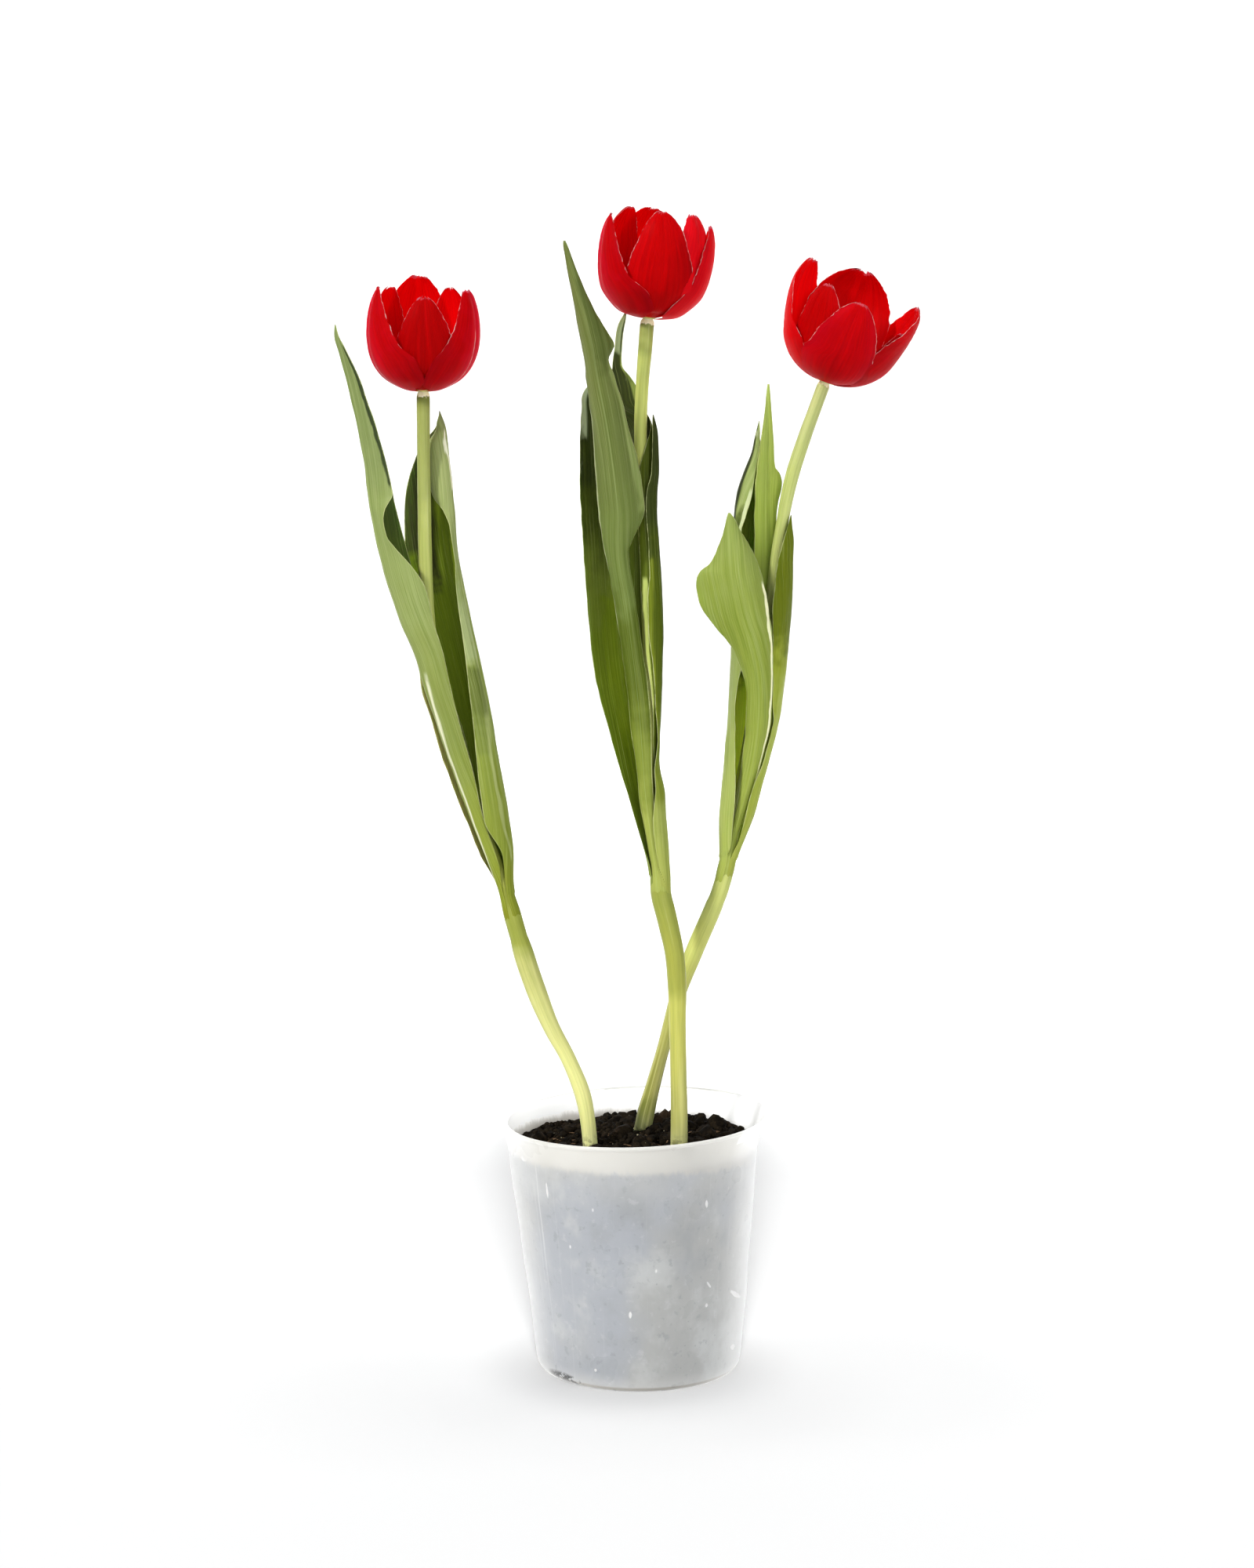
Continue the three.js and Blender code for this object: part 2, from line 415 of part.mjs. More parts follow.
// Slopes for a monotone cubic, which never overshoots its rows.
function monotone(t, y) {
  const n = t.length;
  const h = [];
  const d = [];
  for (let i = 0; i < n - 1; i++) {
    h.push(t[i + 1] - t[i]);
    d.push((y[i + 1] - y[i]) / h[i]);
  }
  if (n === 2) return [d[0], d[0]];
  const end = (h0, h1, d0, d1) => {
    let s = ((2 * h0 + h1) * d0 - h0 * d1) / (h0 + h1);
    if (s * d0 <= 0) s = 0;
    else if (d0 * d1 <= 0 && Math.abs(s) > 3 * Math.abs(d0)) s = 3 * d0;
    return s;
  };
  const m = new Array(n).fill(0);
  for (let i = 1; i < n - 1; i++) {
    if (d[i - 1] * d[i] <= 0) continue;
    const w1 = 2 * h[i] + h[i - 1];
    const w2 = h[i] + 2 * h[i - 1];
    m[i] = (w1 + w2) / (w1 / d[i - 1] + w2 / d[i]);
  }
  m[0] = end(h[0], h[1], d[0], d[1]);
  m[n - 1] = end(h[n - 2], h[n - 3], d[n - 2], d[n - 3]);
  return m;
}

// Slopes for a smooth curve through its rows.
function smooth(t, y) {
  const n = t.length;
  return y.map((_, i) => {
    if (i === 0) return (y[1] - y[0]) / (t[1] - t[0]);
    if (i === n - 1) return (y[n - 1] - y[n - 2]) / (t[n - 1] - t[n - 2]);
    const h0 = t[i] - t[i - 1];
    const h1 = t[i + 1] - t[i];
    return (((y[i] - y[i - 1]) / h0) * h1 + ((y[i + 1] - y[i]) / h1) * h0) / (h0 + h1);
  });
}

// Rows of numbers over t, read anywhere between.
function table(t, rows, smoothColumns) {
  const columns = rows[0].map((_, k) => {
    const y = rows.map((r) => r[k]);
    return [y, (k < smoothColumns ? smooth : monotone)(t, y)];
  });
  return (x) =>
    columns.map(([y, m]) => {
      if (x <= t[0]) return y[0];
      if (x >= t[t.length - 1]) return y[y.length - 1];
      let i = 0;
      while (x > t[i + 1]) i++;
      const h = t[i + 1] - t[i];
      const s = (x - t[i]) / h;
      return (
        (1 + 2 * s) * (1 - s) ** 2 * y[i] +
        s * (1 - s) ** 2 * h * m[i] +
        s * s * (3 - 2 * s) * y[i + 1] +
        s * s * (s - 1) * h * m[i + 1]
      );
    });
}
function alongSpine(rows, smoothColumns) {
  const t = [0];
  for (let i = 1; i < rows.length; i++) t.push(t[i - 1] + dist(rows[i - 1], rows[i]));
  const length = t[t.length - 1];
  return { at: table(t.map((x) => x / length), rows, smoothColumns), length };
}

// Seeded value noise over the plane.
function lattice(i, j, k) {
  let h = (i * 374761393 + j * 668265263 + k * 974634777) | 0;
  h = Math.imul(h ^ (h >>> 13), 1274126177);
  return ((h ^ (h >>> 16)) >>> 0) / 4294967295;
}
function noise(x, y, seed) {
  const i = Math.floor(x);
  const j = Math.floor(y);
  const f = (v) => v * v * (3 - 2 * v);
  const u = f(x - i);
  const v = f(y - j);
  const a = lattice(i, j, seed) * (1 - u) + lattice(i + 1, j, seed) * u;
  const b = lattice(i, j + 1, seed) * (1 - u) + lattice(i + 1, j + 1, seed) * u;
  return a * (1 - v) + b * v - 0.5;
}

// -------------------------------------------------------------------- solids
function toManifold(geometry) {
  const g = geometry.clone();
  g.deleteAttribute("normal");
  g.deleteAttribute("uv");
  const merged = mergeVertices(g, 1e-4);
  return new wasm.Manifold(
    new wasm.Mesh({
      numProp: 3,
      vertProperties: new Float32Array(merged.attributes.position.array),
      triVerts: new Uint32Array(merged.index.array),
    }),
  );
}
function toGeometry(solid) {
  const m = solid.getMesh();
  const n = m.numProp;
  const p = new Float32Array(m.numVert * 3);
  for (let i = 0; i < m.numVert; i++) p.set(m.vertProperties.subarray(i * n, i * n + 3), i * 3);
  const g = new THREE.BufferGeometry();
  g.setAttribute("position", new THREE.BufferAttribute(p, 3));
  g.setIndex(new THREE.BufferAttribute(new Uint32Array(m.triVerts), 1));
  g.computeVertexNormals();
  return g;
}
function mapVertices(geometry, f) {
  const p = geometry.attributes.position;
  for (let i = 0; i < p.count; i++) {
    const v = f(p.getX(i), p.getY(i), p.getZ(i));
    p.setXYZ(i, v[0], v[1], v[2]);
  }
  p.needsUpdate = true;
  geometry.computeVertexNormals();
  return geometry;
}
// A turned solid standing on +Z. profile: radius, height, from the axis and
// back to it.
function turned(profile, sides) {
  const g = new THREE.LatheGeometry(profile.map(([r, z]) => new THREE.Vector2(r, z)), sides);
  return g.rotateX(Math.PI / 2);
}
// A thin blade: surface(u, t) for u in -1..1 and t in 0..1, given its
// thickness along the normal.
function blade(surface, acrossSteps, alongSteps, thickness, edge, twisted = false) {
  const e = 1e-3;
  const clampU = (u) => Math.min(1, Math.max(-1, u));
  const clampT = (t) => Math.min(1, Math.max(0, t));
  const at = (u, t) => new THREE.Vector3(...surface(clampU(u), clampT(t)));
  const facing = (u, t) =>
    at(u + e, t).sub(at(u - e, t)).cross(at(u, t + e).sub(at(u, t - e))).normalize();
  // The half thickness stays well under the radius of the tightest bend nearby,
  // so the two faces of a rolled margin never pass through each other.
  const room = (u, t) => {
    const p = at(u, t);
    const n = facing(u, t);
    let least = Infinity;
    for (const i of [-1, 0, 1])
      for (const j of [-1, 0, 1]) {
        if (!i && !j) continue;
        const [v, s] = [clampU(u + (2 * i) / acrossSteps), clampT(t + j / alongSteps)];
        const turn = n.distanceTo(facing(v, s));
        if (turn > 1e-3) least = Math.min(least, (0.55 * p.distanceTo(at(v, s))) / turn);
      }
    return Math.max(0.09, least);
  };
  const flat = new THREE.BoxGeometry(2, 1, 1, acrossSteps, alongSteps, 1);
  // The near face of a twisted blade is split along the same diagonals as the far
  // one, which keeps the two walls parallel.
  const nearFace = flat.groups[4];
  for (let i = nearFace.start; twisted && i < nearFace.start + nearFace.count; i += 6) {
    const [a, b, d, c] = [0, 1, 2, 4].map((k) => flat.index.getX(i + k));
    [a, b, c, a, c, d].forEach((v, k) => flat.index.setX(i + k, v));
  }
  return mapVertices(flat, (x, y, z) => {
    const u = clampU(x);
    const t = clampT(y + 0.5);
    const p = at(u, t);
    const n = facing(u, t);
    const near = Math.max(0, (Math.abs(u) - 0.7) / 0.3);
    const half = 0.5 * thickness * (1 - (1 - edge) * Math.max(near, (t - 0.9) / 0.1));
    p.addScaledVector(n, Math.min(half, room(u, t)) * Math.sign(z));
    return p.toArray();
  });
}

// The soft wall is a little out of true, and its rim is not quite level.
const trueOffset = table(
  [0, ...POT_WALL_CURVE.map((r) => r[0]), POT_HEIGHT, POT_HEIGHT + 5],
  [[1.0], ...POT_WALL_CURVE.map((r) => [r[2]]), [0], [0]],
  0,
);
function settle(x, y, z) {
  const k = Math.min(1, Math.max(0, (z - 84) / 32));
  return [x + trueOffset(Math.max(0, z))[0], y, z + (RIM_TILT * x * k * k * (3 - 2 * k)) / 60];
}
function innerRadius(z) {
  const c = POT_WALL_CURVE;
  if (z <= c[0][0]) return c[0][1] - POT_WALL;
  for (let i = 1; i < c.length; i++)
    if (z <= c[i][0]) {
      const s = (z - c[i - 1][0]) / (c[i][0] - c[i - 1][0]);
      return c[i - 1][1] + s * (c[i][1] - c[i - 1][1]) - POT_WALL;
    }
  return c[c.length - 1][1] - POT_WALL;
}

function potGeometry() {
  const H = POT_HEIGHT;
  const outer = [
    [0, 0], [FOOT_RADIUS, 0], [45.3, 1.2], [46.5, 3.0],
    ...POT_WALL_CURVE.map(([z, r]) => [r, z]),
  ];
  const rim = [
    [60.05, H - 1.3], [60.25, H - 0.6], [59.95, H - 0.1], [59.3, H], [58.75, H - 0.4], [58.45, H - 1.6],
  ];
  const inner = [...POT_WALL_CURVE.slice(1)].reverse().map(([z, r]) => [r - POT_WALL, z]);
  const floor = [[45.65, 5.6], [44.9, 3.2], [43.2, 1.8], [41.5, POT_FLOOR], [0, POT_FLOOR]];
  const shell = mapVertices(turned([...outer, ...rim, ...inner, ...floor], POT_SIDES), settle);
  let solid = toManifold(shell);
  for (let i = 0; i < DRAIN_HOLES; i++) {
    const a = rad(-104 + (i * 360) / DRAIN_HOLES);
    const drill = new THREE.CylinderGeometry(DRAIN_RADIUS, DRAIN_RADIUS, 6, 14)
      .rotateX(Math.PI / 2)
      .translate(1 + DRAIN_CIRCLE * Math.cos(a), DRAIN_CIRCLE * Math.sin(a), 1);
    solid = solid.subtract(toManifold(drill));
  }
  return toGeometry(solid);
}

function bulbGeometry(grow) {
  const k = BULB_HEIGHT;
  const g = grow;
  const r = BULB_RADIUS;
  return turned(
    [
      [0, -g], [6 + g * 0.6, -g], [r * 0.72 + g, k * 0.07 - g * 0.6], [r * 0.94 + g, k * 0.18],
      [r + g, k * 0.31], [r * 0.96 + g, k * 0.45], [r * 0.8 + g, k * 0.6], [r * 0.56 + g, k * 0.75],
      [r * 0.38 + g, k * 0.88], [4.3 + g, k + g], [0, k + g],
    ],
    18,
  );
}

function stemGeometry(rows, grow, flower) {
  const spine = alongSpine(rows, 3);
  const tube = new THREE.CylinderGeometry(1, 1, 1, STEM_SIDES, STEM_STEPS);
  const e = 1e-3;
  return mapVertices(tube, (x, y, z) => {
    const t = Math.min(1, Math.max(0, y + 0.5));
    const s = spine.at(t);
    const a = spine.at(Math.max(0, t - e));
    const b = spine.at(Math.min(1, t + e));
    const T = new THREE.Vector3(b[0] - a[0], b[1] - a[1], b[2] - a[2]).normalize();
    if (t === 0) T.set(0, 0, 1);
    if (flower && t === 1) T.copy(flower.W);
    const X = new THREE.Vector3(0, 1, 0).cross(T).normalize();
    const Z = new THREE.Vector3().crossVectors(X, T);
    const r = s[3] + grow;
    return [0, 1, 2].map(
      (i) => s[i] + r * (x * X.getComponent(i) + z * Z.getComponent(i)),
    );
  });
}

function soilGeometry() {
  const z0 = POT_FLOOR + GAP;
  const R = (z) => innerRadius(z) - GAP;
  const profile = [[0, z0], [41, z0], [42.9, z0 + 0.6], [44.5, z0 + 2.2], [R(8) - 0.2, 8]];
  for (const z of [14, 32.6, 51.1, 67.8, 88]) profile.push([R(z), z]);
  profile.push([R(SOIL_RIM - 2.2), SOIL_RIM - 2.2], [R(SOIL_RIM - 2.2) - 1, SOIL_RIM]);
  const rings = [50, 44.5, 38.5, 32.5, 26.5, 20.5, 14, 7.5, 0];
  const mound = (r) => SOIL_RIM + SOIL_MOUND * (0.5 + 0.5 * Math.cos((Math.PI * r) / 52));
  for (const r of rings) profile.push([r, mound(r)]);
  const body = turned(profile, POT_SIDES);
  mapVertices(body, (x, y, z) => {
    const r = Math.hypot(x, y);
    if (z > SOIL_RIM - 1) {
      const k = Math.min(1, Math.max(0.25, (54 - r) / 6));
      z += k * (3.4 * noise(x / 9 + 7, y / 9 - 3, 5) + 1.9 * noise(x / 4.2, y / 4.2, 11));
    }
    return settle(x, y, z);
  });
  let solid = toManifold(body);
  for (const k of ["a", "b", "c"]) {
    const [x, y] = BULBS[k];
    solid = solid.subtract(toManifold(bulbGeometry(GAP).translate(x, y, BULB_BASE)));
    solid = solid.subtract(toManifold(stemGeometry(STEMS["stem_" + k], GAP, null)));
  }
  // Crumbs cut loose beside a stem fall away.
  const bodies = solid.decompose().sort((p, q) => q.volume() - p.volume());
  return toGeometry(bodies[0]);
}

function leafSurface(rows) {
  const spine = alongSpine(rows, 3);
  const e = 1e-3;
  return (u, t) => {
    const s = spine.at(t);
    const a = spine.at(Math.max(0, t - e));
    const b = spine.at(Math.min(1, t + e));
    const T = new THREE.Vector3(b[0] - a[0], b[1] - a[1], b[2] - a[2]).normalize();
    const out = new THREE.Vector3(Math.sin(rad(s[3])), -Math.cos(rad(s[3])), 0);
    const across = new THREE.Vector3(0, 0, 1).cross(out);
    const N = across.clone().cross(T).normalize();
    if (N.dot(out) < 0 && Math.abs(T.z) > 0.05) N.negate();
    const w = u < 0 ? s[5] : s[7];
    const k = rad(u < 0 ? s[6] : s[8]);
    const q = Math.abs(u);
    const x = Math.abs(k) < 1e-3 ? w * q : (w / k) * Math.sin(k * q);
    const y = Math.abs(k) < 1e-3 ? 0.5 * k * w * q * q : (w / k) * (1 - Math.cos(k * q));
    const c = Math.cos(rad(s[4]));
    const d = Math.sin(rad(s[4]));
    const side = (u >= 0 ? 1 : -1) * (x * c - y * d);
    const back = x * d + y * c;
    return [0, 1, 2].map(
      (i) => s[i] + across.getComponent(i) * side - N.getComponent(i) * back,
    );
  };
}

function flowerFrame(f) {
  const W = new THREE.Vector3(Math.sin(rad(f.tilt)), 0, Math.cos(rad(f.tilt)));
  const X = new THREE.Vector3(0, 1, 0).cross(W).normalize();
  const Y = new THREE.Vector3().crossVectors(W, X);
  const place = (x, y, h) =>
    [0, 1, 2].map((i) => f.at[i] + X.getComponent(i) * x + Y.getComponent(i) * y + W.getComponent(i) * h);
  return { W, X, Y, place };
}

function petalSurface(f, frame, petal) {
  const [azimuth, height, width, inset, lean, cup, spiral, blunt, skew] = petal;
  const lengthOf = (rows) => {
    const t = [0];
    for (let i = 1; i < rows.length; i++)
      t.push(t[i - 1] + Math.hypot(rows[i][0] - rows[i - 1][0], rows[i][1] - rows[i - 1][1]));
    return t;
  };
  let rows = f.wall;
  if (inset) {
    const t = lengthOf(rows);
    rows = rows.map((_, i) => {
      const p = f.wall[Math.max(0, i - 1)];
      const q = f.wall[Math.min(f.wall.length - 1, i + 1)];
      const n = [q[1] - p[1], p[0] - q[0]];
      const l = Math.hypot(...n);
      return [f.wall[i][0] - (inset * n[0]) / l, f.wall[i][1] - (inset * n[1]) / l];
    });
    rows[0] = [2.4, rows[0][1]];
  }
  const t = lengthOf(rows);
  const line = table(t, rows, 2);
  let lo = 0;
  let hi = t[t.length - 1];
  for (let i = 0; i < 40; i++) {
    const m = (lo + hi) / 2;
    if (line(m)[1] < height) lo = m;
    else hi = m;
  }
  const outline = table(PETAL_OUTLINE.map((r) => r[0]), PETAL_OUTLINE.map((r) => [r[1]]), 0);
  return (u, s) => {
    const q = 1 - (1 - s ** 1.2) ** 1.25;
    let [r, h] = line(q * lo);
    const w = width * outline(q < 0.44 ? q : 0.44 + 0.56 * ((q - 0.44) / 0.56) ** (1 + blunt))[0];
    r += lean * Math.max(0, (q - 0.25) / 0.75) ** 1.6;
    const middle = rad(azimuth + skew * Math.max(0, (q - 0.2) / 0.8) ** 2);
    const rr = r - cup * u * u * Math.min(1, q * 3) + spiral * u * Math.min(1, q * 7);
    const reach = Math.min(w / Math.max(r, 2.2), rad(39 + 125 * Math.max(0, q - 0.1)));
    const angle = middle + u * reach;
    return frame.place(rr * Math.sin(angle), -rr * Math.cos(angle), h);
  };
}

// --------------------------------------------------------------------- model
const paint = (color, roughness, metalness = 0) =>
  new THREE.MeshStandardMaterial({ color, roughness, metalness });
const FINISH = {
  pot: paint(0xd9dcd6, 0.42),
  soil: paint(0x1d1712, 0.95),
  bulb: paint(0x9a6a3a, 0.7),
  stem: paint(0x8fa766, 0.5),
  leaf: paint(0x7d9568, 0.55),
  petal: paint(0xd00a22, 0.45),
  pistil: paint(0xb9c77a, 0.5),
  stamen: paint(0x3a2b3f, 0.7),
};

const group = new THREE.Group();
function add(name, geometry, material, parent = group) {
  const mesh = new THREE.Mesh(geometry, material);
  mesh.name = name;
  parent.add(mesh);
  return mesh;
}

add("pot", potGeometry(), FINISH.pot);
add("soil", soilGeometry(), FINISH.soil);
for (const k of ["a", "b", "c"])
  add("bulb_" + k, bulbGeometry(0), FINISH.bulb).position.set(BULBS[k][0], BULBS[k][1], BULB_BASE);

for (const k of ["a", "b", "c"]) {
  const f = FLOWERS[k];
  const frame = flowerFrame(f);
  // The stem ends in a short receptacle inside the cup of petals.
  const rows = STEMS["stem_" + k].filter((r) => dist(r, f.at) > 3);
  const neck = STEMS["stem_" + k][STEMS["stem_" + k].length - 1][3];
  rows.push([...frame.place(0, 0, -1.6), neck], [...frame.place(0, 0, -0.7), 2.4], [...frame.place(0, 0, 2.1), 1.9]);
  add("stem_" + k, stemGeometry(rows, 0, frame), FINISH.stem);

  f.petals.forEach((p, i) =>
    add(
      "petal_" + k + (i + 1),
      blade(petalSurface(f, frame, p), 6, 8, PETAL_THICKNESS, PETAL_EDGE),
      FINISH.petal,
    ),
  );

  // Pistil and stamens stand on the receptacle, in the flower's own frame.
  const cup = new THREE.Group();
  cup.position.set(...f.at);
  cup.rotation.y = rad(f.tilt);
  group.add(cup);
  const pistil = turned(
    [
      [0, 2.5], [1.5, 2.5], [2.2, 5], [2.5, 11], [2.2, OVARY_HEIGHT - 4], [1.7, OVARY_HEIGHT - 1],
      [3.6, OVARY_HEIGHT], [4.1, OVARY_HEIGHT + 1.2], [3.2, OVARY_HEIGHT + 2.4], [0, OVARY_HEIGHT + 1.2],
    ],
    12,
  );
  mapVertices(pistil, (x, y, z) => {
    // three lobes on the stigma
    const k3 = z > OVARY_HEIGHT - 0.5 ? 1 + 0.16 * Math.cos(3 * Math.atan2(y, x)) : 1;
    return [x * k3, y * k3, z];
  });
  add("pistil_" + k, pistil, FINISH.pistil, cup);
  for (let i = 0; i < STAMEN_COUNT; i++) {
    const a = rad(15 + i * 60);
    const stamen = turned(
      [
        [0, 0], [0.75, 0], [0.55, 9], [1.0, 11.2], [1.4, 14], [1.35, 19], [0.9, 22], [0, 22.8],
      ],
      5,
    );
    const holder = new THREE.Group();
    holder.position.set(4.2 * Math.cos(a), 4.2 * Math.sin(a), 4.3);
    holder.rotation.set(-0.12 * Math.sin(a), 0.12 * Math.cos(a), 0);
    cup.add(holder);
    add("stamen_" + k + (i + 1), stamen, FINISH.stamen, holder);
  }
}

for (const [name, rows] of Object.entries(LEAVES))
  add(name, blade(leafSurface(rows), 6, 17, LEAF_THICKNESS, LEAF_EDGE, true), FINISH.leaf);

export default group;
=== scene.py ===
import math

import bpy
import numpy as np
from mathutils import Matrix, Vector


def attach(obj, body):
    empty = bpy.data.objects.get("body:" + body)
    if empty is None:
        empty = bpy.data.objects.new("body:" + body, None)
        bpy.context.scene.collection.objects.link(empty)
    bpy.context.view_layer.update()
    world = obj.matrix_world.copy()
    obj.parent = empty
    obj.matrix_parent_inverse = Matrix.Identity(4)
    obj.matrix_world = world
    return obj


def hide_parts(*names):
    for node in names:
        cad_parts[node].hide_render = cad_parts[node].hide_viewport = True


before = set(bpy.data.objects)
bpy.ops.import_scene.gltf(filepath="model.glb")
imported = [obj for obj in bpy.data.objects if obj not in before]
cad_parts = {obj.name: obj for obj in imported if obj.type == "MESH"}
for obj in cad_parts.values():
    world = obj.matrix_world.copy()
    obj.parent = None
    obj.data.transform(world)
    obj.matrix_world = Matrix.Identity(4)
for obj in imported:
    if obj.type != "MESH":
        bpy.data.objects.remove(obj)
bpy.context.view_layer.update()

# Potted tulip: three red flowers, ten leaves, a frosted pot of soil. All lengths in the tables are in mm.
STEMS = {
    'stem_a': [
        (-20.8, -19.6, 88.3, 3.6),
        (-20.6, -20.2, 97, 3.4),
        (-21.5, -20.5, 114, 3.35),
        (-24.1, -20, 130.1, 3.6),
        (-30.3, -19, 146.1, 3.4),
        (-38.5, -18, 161.7, 3.8),
        (-45, -17, 177.6, 4.5),
        (-50.4, -16.3, 193.6, 4.6),
        (-52.9, -16, 202.1, 3.9),
        (-54.6, -15.9, 208.2, 2.7),
        (-57.4, -15.7, 218.1, 2.5),
        (-61.8, -15.3, 233, 2.5),
        (-69.4, -15, 253.5, 2.6),
        (-72.9, -14.8, 264.4, 2.7),
        (-77, -14.6, 278.8, 2.8),
        (-81.4, -14.2, 294.9, 2.9),
        (-86.5, -13.9, 313.1, 3),
        (-91.3, -13.5, 334.1, 3),
        (-92.7, -13.2, 348, 3),
        (-93.3, -13, 361.9, 3),
        (-93.8, -12.3, 391.3, 2.95),
        (-94, -11.6, 417.1, 2.9),
        (-94, -11, 444.5, 2.9),
    ],
    'stem_b': [
        (19.6, -18.6, 88.3, 3.8),
        (19.2, -19.2, 97, 3.8),
        (19.1, -19, 124.8, 3.75),
        (18.7, -18, 143, 3.75),
        (18.3, -17, 161.1, 3.8),
        (18.1, -16, 179.2, 4.2),
        (16.7, -15, 195.5, 4.3),
        (14.4, -14.5, 206.5, 4.3),
        (12.5, -14.2, 214.3, 3.4),
        (11.4, -14, 218.5, 2.6),
        (9.5, -13.4, 231.9, 2.5),
        (7.5, -12.6, 248.1, 2.5),
        (5.8, -11.7, 262.9, 2.5),
        (5.2, -10.8, 277.6, 2.5),
        (5.1, -10, 290.6, 2.6),
        (5.4, -9, 305.6, 2.7),
        (5.6, -8, 320.2, 2.8),
        (5.4, -7, 333.4, 2.9),
        (4.7, -5.6, 353.3, 2.95),
        (4.2, -4.4, 369.9, 3),
        (3.1, -3, 389, 3),
        (2.2, -1.5, 409.8, 2.95),
        (1.7, 0, 432.2, 2.9),
        (2.4, 1, 447.4, 2.9),
        (3.6, 2, 462.9, 3.1),
        (4.8, 3, 476.3, 3.1),
    ],
    'stem_c': [
        (2.4, 12, 88.3, 3.8),
        (1.6, 6.5, 98, 3.9),
        (3.9, 4.3, 114.9, 3.9),
        (7.4, 4.8, 128.7, 3.3),
        (12.4, 5.3, 147.3, 2.9),
        (19.6, 6, 173.7, 3.5),
        (27, 6.6, 193.2, 4),
        (35, 7.2, 211.9, 4),
        (37.3, 7.4, 217.7, 3.3),
        (38.9, 7.6, 222.7, 2.6),
        (41.2, 7.8, 232, 2.5),
        (44, 8.3, 246.4, 2.5),
        (48.1, 9, 267.8, 2.6),
        (53, 9.8, 292.7, 2.8),
        (57.5, 10.6, 317.6, 2.9),
        (60.6, 11.4, 345.8, 2.9),
        (62.6, 12, 367, 2.9),
        (65.5, 12.6, 386.7, 2.8),
        (66.8, 12.8, 394, 2.95),
        (70.1, 13.2, 408.4, 3.1),
        (74.6, 13.6, 422.4, 3),
        (79.8, 14, 437, 2.9),
        (83.9, 14.3, 448.2, 2.9),
    ],
}
